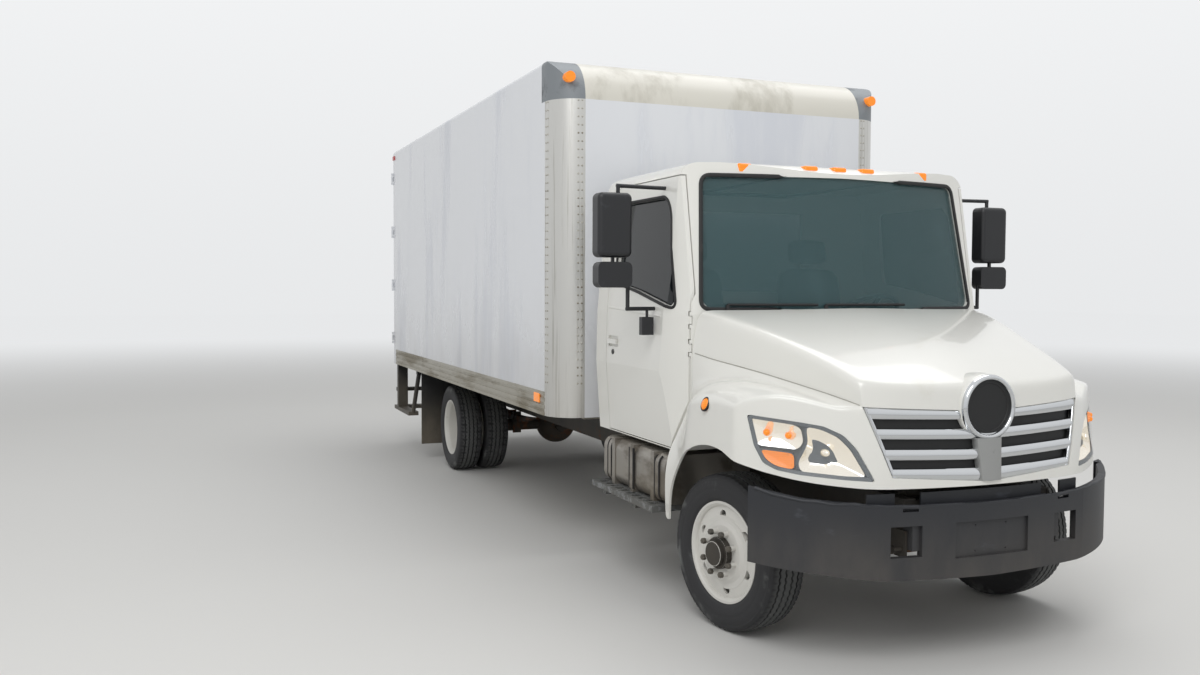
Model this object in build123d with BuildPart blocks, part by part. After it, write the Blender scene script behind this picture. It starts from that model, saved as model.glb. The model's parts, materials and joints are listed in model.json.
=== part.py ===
# Box truck: conventional cab with a tilting hood, ladder frame, dual rear wheels and a van body
# Units are millimetres, +X is the truck's left side, the front faces -Y and the tyres stand on Z = 0
# A station is a distance measured back from the front axle
import os
from math import cos, radians, sin

from build123d import *

# Driving dimensions of the whole vehicle
FRONT_AXLE_Y = -3070
WHEELBASE = 5171
HUB_Z = 402
STEER_ANGLE = 9.7
SIDE = Plane(origin=(0, FRONT_AXLE_Y, 0), x_dir=(0, 1, 0), z_dir=(1, 0, 0))
PLAN = Plane(origin=(0, FRONT_AXLE_Y, 0), x_dir=(1, 0, 0), z_dir=(0, 0, 1))
FRONT = Plane(origin=(0, FRONT_AXLE_Y, 0), x_dir=(1, 0, 0), z_dir=(0, -1, 0))

# Frame
RAIL_X = 430
RAIL_Z = (550, 780)
RAIL_STATIONS = (-800, 6930)
RAIL_WEB = 8
RAIL_FLANGE = 65
CAB_MOUNT_STATIONS = (520, 1400)
HOOD_PIVOT = (-800, 550)
CROSS_MEMBER_STATIONS = (-755, 1380, 2700, 4050, 6050, 6880)

# Running gear
TYRE_R = 402
TYRE_WIDTH = 225
RIM_R = 259
FRONT_TYRE_X = 852
REAR_TYRE_X = (963.5, 709.5)
HUB_FACE_X = 836
KINGPIN_X = 770
STEER_ARM = 150
TIE_ROD_Z = 304
STUD_CIRCLE_R = 110
STUDS = 8
HAND_HOLES = 6
AXLE_HALF_OUTLINE = (
    (0, 300), (360, 300), (560, 350), (660, 372), (770, 372), (770, 432), (640, 432), (540, 410), (340, 375), (0, 375),
)
AXLE_HALF_GROOVE = ((0, 314), (355, 314), (550, 362), (550, 396), (345, 361), (0, 361))
LEAVES = ((700, 470), (560, 456), (430, 442), (300, 428))

# Front bumper
PLATE_Z = 593
PLATE_BOLTS = (178, 121)
BUMPER_HALF_FACE = ((0, 415), (560, 426), (1082, 482), (1082, 838), (900, 798), (560, 768), (0, 757))
BUMPER_WALL = 35
BUMPER_BACK = -866
PLATE_STATION = -885
VALANCE_Z = (738, 812)
VALANCE_X = (488, 620)
VALANCE_INSET = 58

# Cab
CAB_FLOOR_Z = 860
CAB_REAR = 1500
CAB_WALL = 45
CAB_HALF_PROFILE = ((0, 860), (1000, 860), (1030, 1280), (1024, 1600), (950, 2425), (0, 2445))
WINDSHIELD_LEAN = (0, 0.19, 1)
COWL_Z = 1600
DOOR_GAP = 6
DOOR_THICK = 58
DOOR_HINGE = (947, 341)
DOOR_HINGE_SPANS = ((1400, 1440), (1550, 1590))
HINGE_PIN_R = 8
# Angles at which the door's front edge is cut out of the cab, so that it swings free
DOOR_SWEEP = (6, 12, 18, 24, 30, 36, 42, 48, 54, 60, 66, 71)
DOOR_SWEEP_STATIONS = (330, 500)
CAB_ROOF_R = 110
CAB_HEADER_R = 170
CAB_SIDE_POINTS = (
    (700, 2446), (1490, 2420), (CAB_REAR, CAB_FLOOR_Z), (395, CAB_FLOOR_Z), (270, 1290), (270, 1570),
    (120, 1590), (120, 1650), (322, 2424),
)
DOOR_FROM_X = 925
DOOR_OUTLINE = ((470, 872), (455, 890), (344, 1130), (344, 1620), (370, 2352), (1330, 2352), (1330, 872))
CAB_CORNERS = ((948, 328), (998, 432), (1032, 680))
HANDLE_RECESS = ((1150, 1300), (1385, 1450))
WINDOW_OUTLINE = ((432, 1632), (920, 1728), (1235, 1775), (1245, 2245), (610, 2245), (535, 2160))
WINDSHIELD_HALF = ((0, 1622), (893, 1634), (838, 2352), (0, 2362))
REAR_WINDOW = (450, (1720, 2240))
MIRROR_X = 1295
MIRROR_STATION = 600
MIRROR_Z = (2081, 1812)
STEERING_X = 450
GLASS_INSETS = (14, 20)
DOOR_GLASS_INSETS = (24, 29)

HOOD_WALL = 14
# Hood sections: station, then x and z of the crown, crease, seam, valley, fender top, side, waist, flank and base
HOOD_SECTIONS = (
    (470, (0, 1692), (938, 1655), (975, 1414), (980, 1240), (984, 1130), (990, 1020), (1002, 920), (1058, 800), (1066, 420)),
    (320, (0, 1666), (918, 1630), (948, 1398), (949, 1240), (951, 1140), (966, 1040), (1000, 930), (1060, 800), (1068, 420)),
    (150, (0, 1636), (888, 1604), (912, 1370), (945, 1262), (1010, 1226), (1076, 1150), (1082, 1000), (1086, 800), (1082, 420)),
    (0, (0, 1605), (850, 1570), (862, 1348), (900, 1276), (995, 1282), (1084, 1196), (1088, 1040), (1092, 800), (1088, 420)),
    (-200, (0, 1558), (785, 1514), (802, 1318), (855, 1282), (985, 1304), (1086, 1212), (1090, 1050), (1094, 800), (1090, 420)),
    (-400, (0, 1498), (728, 1452), (735, 1280), (800, 1262), (965, 1298), (1085, 1205), (1090, 1050), (1094, 800), (1090, 420)),
    (-560, (0, 1440), (690, 1400), (690, 1252), (765, 1235), (940, 1268), (1076, 1176), (1088, 1040), (1092, 800), (1088, 420)),
    (-700, (0, 1374), (655, 1345), (652, 1224), (735, 1205), (905, 1230), (1050, 1140), (1080, 1020), (1084, 800), (1080, 420)),
    (-800, (0, 1318), (622, 1298), (620, 1200), (705, 1180), (875, 1200), (1020, 1115), (1060, 1000), (1064, 800), (1060, 420)),
    (-920, (0, 1240), (590, 1222), (588, 1172), (675, 1150), (845, 1165), (990, 1085), (1040, 980), (1044, 800), (1040, 420)),
)
HOOD_CREASE_R = 26
# Nose plan at two heights: height, centre station, nose x and station, cheek x and station
NOSE_PLANS = ((400, -932, 560, -890, 925, -678), (1500, -816, 560, -753, 871, -573))
NOSE_FLANK = (1100, -380)
HINGE_ARM_X = 470
HINGE_ARM = (
    (-826, 526), (-774, 526), (-560, 580), (-545, 620), (-585, 785), (-640, 830), (-852, 880), (-852, 846), (-622, 750),
    (-602, 640), (-800, 580), (-826, 574),
)
HEADLAMP_OUTLINE = (
    (1048, 1156), (873, 1132), (787, 1117), (715, 1079), (667, 1020), (598, 873), (712, 879), (883, 894), (962, 910),
    (1002, 938), (1028, 1015),
)
HOOD_SIDE_CUT = ((320, 1800), (320, 1140), (430, 884), (392, 503), (392, 400), (700, 400), (700, 1800))
COWL_CUT = (935, 282, 190)

ARCH_POINTS = ((-281, 963), (-567, 881), (-760, 846), (-1000, 826), (-1000, 380), (480, 380), (480, 503), (350, 503), (345, 616))
ARCH_CROWN = ((345, 616), (262, 800), (75, 924), (-105, 969), (-281, 963))
GRILLE_HALF = ((0, 852), (522, 889), (634, 1208), (0, 1176))
# Grille slots: inner x, outer x, top z at the outer end, height
GRILLE_SLOTS = ((120, 530, 1154, 44), (88, 507, 1064, 46), (76, 487, 970, 40))
GRILLE_SLOT_FALL = 18
GRILLE_DEPTHS = (2, 40)
LAMP_DEPTHS = (3, 48)
EMBLEM_Z = 1193
EMBLEM_R = 153
EMBLEM_FACE = -872
GRILLE_POST = ((0, 1120), (83, 1120), (60, 856), (0, 856))

# Roof lamps of the cab, as x and station
CAB_LAMPS = ((0, 387), (190, 387), (-190, 387), (591, 425), (-591, 425))

# Van body
BOX_HALF_WIDTH = 1251
BOX_FRONT = 1660
BOX_REAR = 6975
BOX_WALL = 30
CORNER_R = 205
ROOF_R = 270
RAIL_BOTTOM_Z = 896
RAIL_TOP_Z = 1054
TOP_RAIL_Z = 3071
ROOF_Z = 3220
DECK_Z = (985, 1020)
PORTAL_POST = 90
PORTAL_DEPTH = 110
PORTAL_OPENING = (BOX_HALF_WIDTH - PORTAL_POST, (1025, 3110))
HINGE_X = 1262
HINGE_STATION = BOX_REAR + 10
HINGE_HEIGHTS = (1180, 1760, 2340, 2920)
LOCK_ROD_X = 330


def block(x, station, z, mode=Mode.ADD):
    """Box between two x values, two stations and two heights."""
    ranges = [sorted(x), sorted(FRONT_AXLE_Y + s for s in station), sorted(z)]
    with Locations(tuple(sum(r) / 2 for r in ranges)):
        Box(*[r[1] - r[0] for r in ranges], mode=mode)


def rod(start, end, radius, mode=Mode.ADD):
    """Round bar between two points given as x, station and height."""
    a = Vector(start[0], FRONT_AXLE_Y + start[1], start[2])
    b = Vector(end[0], FRONT_AXLE_Y + end[1], end[2])
    with BuildSketch(Plane(origin=a, z_dir=b - a)) as end_face:
        Circle(radius)
    extrude(end_face.sketch, amount=(b - a).length, mode=mode)


def mirrored(half):
    """Closed outline from the points of its +X half."""
    return [*half, *[(-x, z) for x, z in reversed(half) if x]]


def at_station(station):
    """Upright cross plane at a station, with x across and y up."""
    return FRONT.offset(-station)


# Frame rails and cross members
with BuildPart() as frame_rails:
    for side in (1, -1):
        with BuildSketch(at_station(RAIL_STATIONS[0])):
            with Locations((side * (RAIL_X - RAIL_FLANGE / 2), sum(RAIL_Z) / 2)):
                Rectangle(RAIL_FLANGE, RAIL_Z[1] - RAIL_Z[0])
            with Locations((side * (RAIL_X - RAIL_WEB - RAIL_FLANGE / 2), sum(RAIL_Z) / 2)):
                Rectangle(RAIL_FLANGE, RAIL_Z[1] - RAIL_Z[0] - 2 * RAIL_WEB, mode=Mode.SUBTRACT)
        extrude(amount=RAIL_STATIONS[0] - RAIL_STATIONS[1])
    for station in CROSS_MEMBER_STATIONS:
        block((RAIL_WEB - RAIL_X, RAIL_X - RAIL_WEB), (station - 40, station + 40), (662, 770))
        block((-RAIL_X + 30, RAIL_X - 30), (station - 32, station + 50), (670, 762), Mode.SUBTRACT)
    for side in (1, -1):
        for station in CAB_MOUNT_STATIONS:
            block((side * (RAIL_X - 40), side * (RAIL_X + 60)), (station - 50, station + 50), (RAIL_Z[1], CAB_FLOOR_Z))
        block((side * RAIL_X, side * (RAIL_X + 12)), (-830, -750), (515, 640))
        rod((side * RAIL_X, *HOOD_PIVOT), (side * (HINGE_ARM_X + 18), *HOOD_PIVOT), 11)


def leaf_pack(centre_x, station, lift, spans):
    """Stacked spring leaves, each a shallow arc; the spans give half length and height at the axle."""
    for half, height in spans:
        rise = (half / 700) ** 2 * lift
        with BuildSketch(SIDE.offset(centre_x - 35)) as leaf:
            with BuildLine():
                ThreePointArc((station - half, height + rise), (station, height), (station + half, height + rise))
                Line((station + half, height + rise), (station + half, height + rise + 13))
                ThreePointArc(
                    (station + half, height + rise + 13), (station, height + 13), (station - half, height + rise + 13)
                )
                Line((station - half, height + rise + 13), (station - half, height + rise))
            make_face()
        extrude(leaf.sketch, amount=70)


# Front axle: dropped I-beam on two leaf packs
with BuildPart() as front_axle:
    with BuildSketch(at_station(40)):
        Polygon(*mirrored(AXLE_HALF_OUTLINE), align=None)
    extrude(amount=80)
    for face_station, direction in ((40, 1), (-40, -1)):
        with BuildSketch(at_station(face_station)):
            Polygon(*mirrored(AXLE_HALF_GROOVE), align=None)
        extrude(amount=28 * direction, mode=Mode.SUBTRACT)
    for side in (1, -1):
        with BuildSketch(Plane.XY.offset(372)):
            with Locations((side * KINGPIN_X, FRONT_AXLE_Y)):
                Circle(45)
        extrude(amount=60)
        block((side * 375, side * 465), (-70, 70), (375, 428))
        leaf_pack(side * 415, 0, 67, LEAVES)
        block((side * 380, side * 460), (-75, -55), (350, 495))
        block((side * 380, side * 460), (55, 75), (350, 495))
    for side in (1, -1):
        with BuildSketch(Plane.XY.offset(360)):
            with Locations((side * KINGPIN_X, FRONT_AXLE_Y)):
                Circle(20)
        extrude(amount=90, mode=Mode.SUBTRACT)

# Rear axle: banjo housing, tubes, leaf packs and propeller shaft
with BuildPart() as rear_axle:
    with Locations((0, FRONT_AXLE_Y + WHEELBASE, HUB_Z)):
        Sphere(195)
    rod((-700, WHEELBASE, HUB_Z), (700, WHEELBASE, HUB_Z), 58)
    rod((-840, WHEELBASE, HUB_Z), (840, WHEELBASE, HUB_Z), 30)
    rod((0, WHEELBASE - 260, HUB_Z + 20), (0, WHEELBASE - 100, HUB_Z + 20), 85)
    rod((0, 1130, 620), (0, WHEELBASE - 200, HUB_Z + 20), 42)
    for side in (1, -1):
        block((side * 385, side * 465), (WHEELBASE - 80, WHEELBASE + 80), (440, 452))
        leaf_pack(side * 425, WHEELBASE, 47, [(half, height + 20) for half, height in LEAVES])
        block((side * 385, side * 465), (WHEELBASE - 85, WHEELBASE - 65), (330, 535))
        block((side * 385, side * 465), (WHEELBASE + 65, WHEELBASE + 85), (330, 535))

# Engine and gearbox as one plain block, and the radiator ahead of it
with BuildPart() as engine_block:
    block((-300, 300), (-640, 240), (560, 1190))
    block((-190, 190), (240, 1120), (540, 815))
    chamfer(engine_block.edges().filter_by(Axis.Y).group_by(Axis.Z)[-1], 60)
    for side in (1, -1):
        block((side * 290, side * 420), (-330, -250), (640, 690))

with BuildPart() as radiator:
    block((-345, 345), (-712, -660), (590, 1210))
    for side in (1, -1):
        block((side * 300, side * 420), (-707, -665), (560, 592))

# Front bumper: wraparound shell with tow openings and a plate recess
def bumper_plan(inset):
    """Plan outline of the bumper, drawn in by the inset."""
    with BuildSketch(PLAN) as plan:
        with BuildLine():
            nose = (600 - inset / 4, -852 + inset)
            cheek = (888 - 0.7 * inset, -712 + 0.7 * inset)
            tip = (1072 - inset, -500)
            ThreePointArc((-nose[0], nose[1]), (0, -904 + inset), nose)
            ThreePointArc(nose, cheek, tip)
            Line(tip, (-tip[0], tip[1]))
            ThreePointArc((-tip[0], tip[1]), (-cheek[0], cheek[1]), (-nose[0], nose[1]))
        make_face()
    return plan.sketch_local


with BuildPart() as front_bumper:
    with BuildSketch(PLAN.offset(400)):
        add(bumper_plan(0))
        add(bumper_plan(BUMPER_WALL), mode=Mode.SUBTRACT)
    extrude(amount=500)
    block((-1030, 1030), (-550, -480), (400, 900), Mode.SUBTRACT)
    with BuildSketch(at_station(-400)):
        Polygon(*mirrored(BUMPER_HALF_FACE), align=None)
    extrude(amount=700, mode=Mode.INTERSECT)
    for side in (1, -1):
        block((side * 388, side * 545), (-1000, -780), (530, 672), Mode.SUBTRACT)
    block((-212, 212), (-1000, PLATE_STATION), (510, 676), Mode.SUBTRACT)
    block((-230, 230), (PLATE_STATION, PLATE_STATION + 20), (490, 700))
    with BuildSketch(at_station(PLATE_STATION + 50)):
        with Locations((0, PLATE_Z)):
            with GridLocations(*PLATE_BOLTS, 2, 2):
                Circle(3.5)
    extrude(amount=100, mode=Mode.SUBTRACT)
    for side in (1, -1):
        block((side * 340, side * RAIL_X), (BUMPER_BACK, RAIL_STATIONS[0]), (555, 734))
    for front, height in ((BUMPER_WALL - 4, 10), (VALANCE_INSET, VALANCE_Z[1] - VALANCE_Z[0])):
        with BuildSketch(PLAN.offset(VALANCE_Z[0])):
            add(bumper_plan(front))
            add(bumper_plan(VALANCE_INSET + 10), mode=Mode.SUBTRACT)
            with Locations((0, -500)):
                Rectangle(2 * VALANCE_X[1], 3000, mode=Mode.INTERSECT)
        extrude(amount=height)
    for side in (1, -1):
        block((side * (RAIL_X - RAIL_FLANGE - 10), side * VALANCE_X[0]), (-880, -700), (VALANCE_Z[0], VALANCE_Z[1] + 10), Mode.SUBTRACT)


# Cab envelope
def cab_form(inset):
    """Closed outer volume of the cab, drawn in by the inset."""
    with BuildPart() as form:
        with BuildSketch(SIDE) as profile:
            Polygon(*CAB_SIDE_POINTS, align=None)
            if inset:
                offset(amount=-inset, kind=Kind.INTERSECTION)
            fillet(profile.vertices().filter_by(lambda v: v.Y > 2300).sort_by(Axis.X)[0], CAB_HEADER_R)
        extrude(amount=1200, both=True)
        with BuildSketch(at_station(0)) as face:
            Polygon(*mirrored(CAB_HALF_PROFILE), align=None)
            if inset:
                offset(amount=-inset, kind=Kind.INTERSECTION)
            fillet(face.vertices().filter_by(lambda v: v.Y > 2300 and abs(v.X) > 500), CAB_ROOF_R - inset)
        extrude(amount=-2000, mode=Mode.INTERSECT)
        with BuildSketch(PLAN.offset(COWL_Z)) as ahead:
            with BuildLine():
                corner, bend, flank = [
                    (x - inset, station + step) for (x, station), step in zip(CAB_CORNERS, (inset, inset, 0))
                ]
                ThreePointArc((-corner[0], corner[1]), (0, 190 + inset), corner)
                ThreePointArc(corner, bend, flank)
                Polyline(
                    flank, (1400, flank[1]), (1400, -400), (-1400, -400), (-1400, flank[1]), (-flank[0], flank[1])
                )
                ThreePointArc((-flank[0], flank[1]), (-bend[0], bend[1]), (-corner[0], corner[1]))
            make_face()
        extrude(amount=1200, dir=WINDSHIELD_LEAN, mode=Mode.SUBTRACT)
        extrude(ahead.sketch, amount=-1000, mode=Mode.SUBTRACT)
    return form.part


cab_outer = cab_form(0)
cab_inner = cab_form(CAB_WALL)
door_inner = cab_form(DOOR_THICK)


def door_outline(grow):
    """Door outline seen from the side."""
    with BuildSketch(SIDE.offset(DOOR_FROM_X - grow)) as outline:
        Polygon(*DOOR_OUTLINE, align=None)
        fillet(outline.vertices().group_by(Axis.Y)[-1], 70)
        if grow:
            offset(amount=grow, kind=Kind.INTERSECTION)
    return outline.sketch


def window_outline():
    """Door window outline seen from the side."""
    with BuildSketch(SIDE.offset(DOOR_FROM_X - 60)) as outline:
        Polygon(*WINDOW_OUTLINE, align=None)
        fillet(outline.vertices(), 38)
    return outline.sketch


def windshield_outline():
    """Windshield outline seen from the front."""
    with BuildSketch(at_station(700)) as outline:
        Polygon(*mirrored(WINDSHIELD_HALF), align=None)
        fillet(outline.vertices().filter_by(lambda v: abs(v.X) > 1), 55)
    return outline.sketch


with BuildPart() as door_zone:
    extrude(door_outline(DOOR_GAP), amount=400)
    mirror(about=Plane.YZ)

with BuildPart() as door_front:
    extrude(door_outline(DOOR_GAP), amount=200)
    block((880, 1100), DOOR_SWEEP_STATIONS, (860, 2380), Mode.INTERSECT)
    add(cab_outer, mode=Mode.INTERSECT)

with BuildPart() as windshield_zone:
    extrude(windshield_outline(), amount=900)


def door_hinges(radius, reach, mode=Mode.ADD):
    """Pin barrels of the door itself, or with a reach the cab's barrels above and below them."""
    for low, high in DOOR_HINGE_SPANS:
        spans = ((low - reach, low - 4), (high + 4, high + reach)) if reach else ((low, high),)
        for bottom, top in spans:
            for side in (1, -1):
                rod((side * DOOR_HINGE[0], DOOR_HINGE[1], bottom), (side * DOOR_HINGE[0], DOOR_HINGE[1], top), radius, mode)


with BuildPart() as cab_shell:
    add(cab_outer)
    add(cab_inner, mode=Mode.SUBTRACT)
    add(door_zone.part, mode=Mode.SUBTRACT)
    door_axis = Axis((DOOR_HINGE[0], FRONT_AXLE_Y + DOOR_HINGE[1], 0), (0, 0, 1))
    for angle in DOOR_SWEEP:
        opened = door_front.part.rotate(door_axis, -angle)
        add(opened, mode=Mode.SUBTRACT)
        add(mirror(opened, about=Plane.YZ, mode=Mode.PRIVATE), mode=Mode.SUBTRACT)
    for low, high in DOOR_HINGE_SPANS:
        for side in (1, -1):
            block((side * 900, side * (DOOR_HINGE[0] - 12)), (DOOR_HINGE[1] - 14, DOOR_HINGE[1]), (low - 24, high + 24))
            rod(
                (side * DOOR_HINGE[0], DOOR_HINGE[1], low - 4), (side * DOOR_HINGE[0], DOOR_HINGE[1], high + 4), 14,
                Mode.SUBTRACT,
            )
    door_hinges(HINGE_PIN_R, 24)
    add(windshield_zone.part, mode=Mode.SUBTRACT)
    block((-REAR_WINDOW[0], REAR_WINDOW[0]), (1400, 1600), REAR_WINDOW[1], Mode.SUBTRACT)

with BuildPart() as cab_glass:
    add(cab_form(GLASS_INSETS[0]))
    add(cab_form(GLASS_INSETS[1]), mode=Mode.SUBTRACT)
    add(windshield_zone.part, mode=Mode.INTERSECT)
    block((-REAR_WINDOW[0], REAR_WINDOW[0]), (1470, 1476), REAR_WINDOW[1])

# Doors, built on the left and mirrored
with BuildPart() as left_door:
    extrude(door_outline(0), amount=400)
    add(cab_outer, mode=Mode.INTERSECT)
    add(door_inner, mode=Mode.SUBTRACT)
    extrude(window_outline(), amount=600, mode=Mode.SUBTRACT)
    for low, high in DOOR_HINGE_SPANS:
        for bottom, top in ((low - 28, low - 2), (high + 2, high + 28)):
            rod((*DOOR_HINGE, bottom), (*DOOR_HINGE, top), HINGE_PIN_R + 7, Mode.SUBTRACT)
        block((DOOR_HINGE[0], DOOR_HINGE[0] + 8), (DOOR_HINGE[1], DOOR_HINGE[1] + 14), (low, high))
        rod((*DOOR_HINGE, low), (*DOOR_HINGE, high), HINGE_PIN_R)
    with Locations((1034, FRONT_AXLE_Y + sum(HANDLE_RECESS[0]) / 2, sum(HANDLE_RECESS[1]) / 2)):
        Box(36, HANDLE_RECESS[0][1] - HANDLE_RECESS[0][0], HANDLE_RECESS[1][1] - HANDLE_RECESS[1][0], mode=Mode.SUBTRACT)
    block((1012, 1034), (1158, 1176), (1402, 1430))
    block((1012, 1034), (1276, 1292), (1402, 1430))
    block((1026, 1042), (1158, 1292), (1402, 1430))

with BuildPart() as left_door_glass:
    extrude(window_outline(), amount=600)
    add(cab_form(DOOR_GLASS_INSETS[0]), mode=Mode.INTERSECT)
    add(cab_form(DOOR_GLASS_INSETS[1]), mode=Mode.SUBTRACT)

# Mirrors on tube arms from the door
with BuildPart() as left_mirrors:
    for z, height, depth in ((MIRROR_Z[0], 350, 95), (MIRROR_Z[1], 140, 85)):
        with Locations((MIRROR_X, FRONT_AXLE_Y + MIRROR_STATION, z)):
            Box(199, depth, height)
    fillet(left_mirrors.edges().filter_by(Axis.Y), 32)
    fillet(left_mirrors.faces().sort_by(Axis.Y)[0].edges(), 26)
    block((MIRROR_X - 8, MIRROR_X + 8), (MIRROR_STATION - 8, MIRROR_STATION + 8), (1870, 1912))
    rod((MIRROR_X - 30, MIRROR_STATION, 2235), (MIRROR_X - 30, MIRROR_STATION, 2300), 11)
    rod((MIRROR_X - 22, MIRROR_STATION, 2296), (962, 640, 2296), 11)
    rod((MIRROR_X - 90, MIRROR_STATION, 1770), (MIRROR_X - 90, MIRROR_STATION, 1620), 11)
    rod((MIRROR_X - 82, MIRROR_STATION, 1626), (1026, 640, 1626), 11)
    rod((1070, 640, 1630), (1070, 640, 1560), 8)
    block((1040, 1110), (615, 655), (1480, 1580))
    add(cab_outer, mode=Mode.SUBTRACT)

# Cab interior
with BuildPart() as dashboard:
    with BuildSketch(SIDE.offset(-880)):
        Polygon((316, 1180), (316, 1560), (420, 1592), (660, 1572), (735, 1440), (640, 1300), (600, 1180), align=None)
    extrude(amount=1760)
    add(cab_inner, mode=Mode.INTERSECT)
    rod((STEERING_X, 730, 1560), (STEERING_X, 560, 1380), 32)
    wheel_plane = Plane(
        origin=(STEERING_X, FRONT_AXLE_Y + 740, 1570), x_dir=(1, 0, 0), z_dir=(0, sin(radians(38)), cos(radians(38)))
    )
    with Locations(wheel_plane):
        Torus(212, 14)
        Cylinder(60, 30)
        for angle in (0, 180, 270):
            with Locations(Location((0, 0, 0), (0, 0, angle)) * Location((130, 0, 0))):
                Box(160, 26, 12)

with BuildPart() as seats:
    for x in (STEERING_X, -STEERING_X):
        with BuildSketch(SIDE.offset(x - 255)) as seat_side:
            Polygon(
                (860, 905), (860, 1120), (800, 1180), (790, 1290), (1230, 1310), (1330, 1880), (1350, 2080),
                (1420, 2080), (1430, 1880), (1400, 1180), (1380, 905), align=None,
            )
            fillet(seat_side.vertices().sort_by(Axis.Y)[2:], 22)
        extrude(amount=510)
        for side in (1, -1):
            block((x + side * 150, x + side * 300), (1280, 1460), (1900, 2100), Mode.SUBTRACT)


def glass_station(x, z):
    """Station of the windshield's outer face at a place on it."""
    return 190 + 145 * (x / 930) ** 2 + WINDSHIELD_LEAN[1] * (z - COWL_Z)


with BuildPart() as wipers:
    for x_pivot, x_tip in ((-760, -250), (-200, 330)):
        points = [(x, glass_station(x, 1650) - 18, 1652) for x in (x_pivot, (x_pivot + x_tip) / 2, x_tip)]
        for a, b in zip(points, points[1:]):
            rod(a, b, 8)
        rod(points[0], (points[0][0], points[0][1] - 10, 1600), 12)
    add(cab_outer, mode=Mode.SUBTRACT)


def drawn_in(outline, wall):
    """Closed outline, taken clockwise, moved inwards by the wall with its corners kept sharp."""
    points = [Vector(*point) for point in outline]
    inner = []
    for before, here, after in zip(points[-1:] + points[:-1], points, points[1:] + points[:1]):
        first = (here - before).normalized()
        second = (after - here).normalized()
        inward = Vector(first.Y + second.Y, -first.X - second.X)
        corner = here + inward * (wall / (1 + first.dot(second)))
        inner.append((corner.X, corner.Y))
    return inner


def hood_form(wall, set_back):
    """Closed volume of the hood and fenders, drawn in all round by the wall and set back at the nose."""
    with BuildPart() as skin:
        for station, *half in HOOD_SECTIONS:
            waist_z = half[6][1]
            with BuildSketch(at_station(station)) as section:
                Polygon(*drawn_in(mirrored(half), wall), align=None)
                if not wall:
                    fillet(section.vertices().filter_by(lambda v: v.Y > waist_z + 20 and abs(v.X) > 1), HOOD_CREASE_R)
        loft(ruled=True)
    with BuildPart() as nose:
        for height, centre, nose_x, nose_station, cheek_x, cheek_station in NOSE_PLANS:
            with BuildSketch(PLAN.offset(height)):
                with BuildLine():
                    tip = (nose_x - set_back / 4, nose_station + set_back)
                    cheek = (cheek_x - 0.7 * set_back, cheek_station + 0.7 * set_back)
                    flank = (NOSE_FLANK[0], NOSE_FLANK[1] + set_back / 2)
                    ThreePointArc((-tip[0], tip[1]), (0, centre + set_back), tip)
                    ThreePointArc(tip, cheek, flank)
                    Polyline(flank, (flank[0], 460), (-flank[0], 460), (-flank[0], flank[1]))
                    ThreePointArc((-flank[0], flank[1]), (-cheek[0], cheek[1]), (-tip[0], tip[1]))
                make_face()
        loft(ruled=True)
    with BuildPart() as form:
        add(skin.part)
        add(nose.part, mode=Mode.INTERSECT)
    return form.part


hood_outer = hood_form(0, 0)

with BuildPart() as lamp_zone:
    with BuildSketch(at_station(-300)) as lamp_face:
        Polygon(*HEADLAMP_OUTLINE, align=None)
        fillet(lamp_face.vertices(), 14)
    extrude(amount=800)
    mirror(about=Plane.YZ)

with BuildPart() as grille_zone:
    with BuildSketch(at_station(-600)):
        Polygon(*mirrored(GRILLE_HALF), align=None)
        with Locations((0, EMBLEM_Z)):
            Circle(EMBLEM_R + 6)
    extrude(amount=500)

with BuildPart() as hood_shell:
    add(hood_outer)
    add(hood_form(HOOD_WALL, HOOD_WALL), mode=Mode.SUBTRACT)
    with BuildSketch(SIDE):
        with BuildLine():
            Polyline(*ARCH_POINTS)
            ThreePointArc(*ARCH_CROWN[:3])
            ThreePointArc(*ARCH_CROWN[2:])
        make_face()
    extrude(amount=1300, both=True, mode=Mode.SUBTRACT)
    with BuildSketch(SIDE):
        Polygon(*HOOD_SIDE_CUT, align=None)
    extrude(amount=1300, both=True, mode=Mode.SUBTRACT)
    with BuildSketch(PLAN.offset(HOOD_SIDE_CUT[1][1])):
        with BuildLine():
            edge_x, edge_station, centre_station = COWL_CUT
            Polyline(
                (-edge_x, edge_station), (-1200, edge_station + 38), (-1200, 900), (1200, 900), (1200, edge_station + 38),
                (edge_x, edge_station),
            )
            ThreePointArc((edge_x, edge_station), (0, centre_station - 40), (-edge_x, edge_station))
        make_face()
    extrude(amount=700, mode=Mode.SUBTRACT)
    with BuildSketch(PLAN.offset(400)):
        with BuildLine():
            corner, bend, flank = [(x + 8, station - 14) for x, station in CAB_CORNERS]
            Polyline((-corner[0], corner[1]), corner)
            ThreePointArc(corner, bend, flank)
            Polyline(flank, (flank[0], 900), (-flank[0], 900), (-flank[0], flank[1]))
            ThreePointArc((-flank[0], flank[1]), (-bend[0], bend[1]), (-corner[0], corner[1]))
        make_face()
    extrude(amount=1200, mode=Mode.SUBTRACT)
    add(lamp_zone.part, mode=Mode.SUBTRACT)
    add(grille_zone.part, mode=Mode.SUBTRACT)
    for side in (1, -1):
        with BuildSketch(SIDE.offset(side * HINGE_ARM_X - 10)):
            Polygon(*HINGE_ARM, align=None)
            with Locations(HOOD_PIVOT):
                Circle(12, mode=Mode.SUBTRACT)
        extrude(amount=20)

with BuildPart() as headlamps:
    add(hood_form(0, LAMP_DEPTHS[0]))
    add(hood_form(0, LAMP_DEPTHS[1]), mode=Mode.SUBTRACT)
    add(lamp_zone.part, mode=Mode.INTERSECT)

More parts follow.
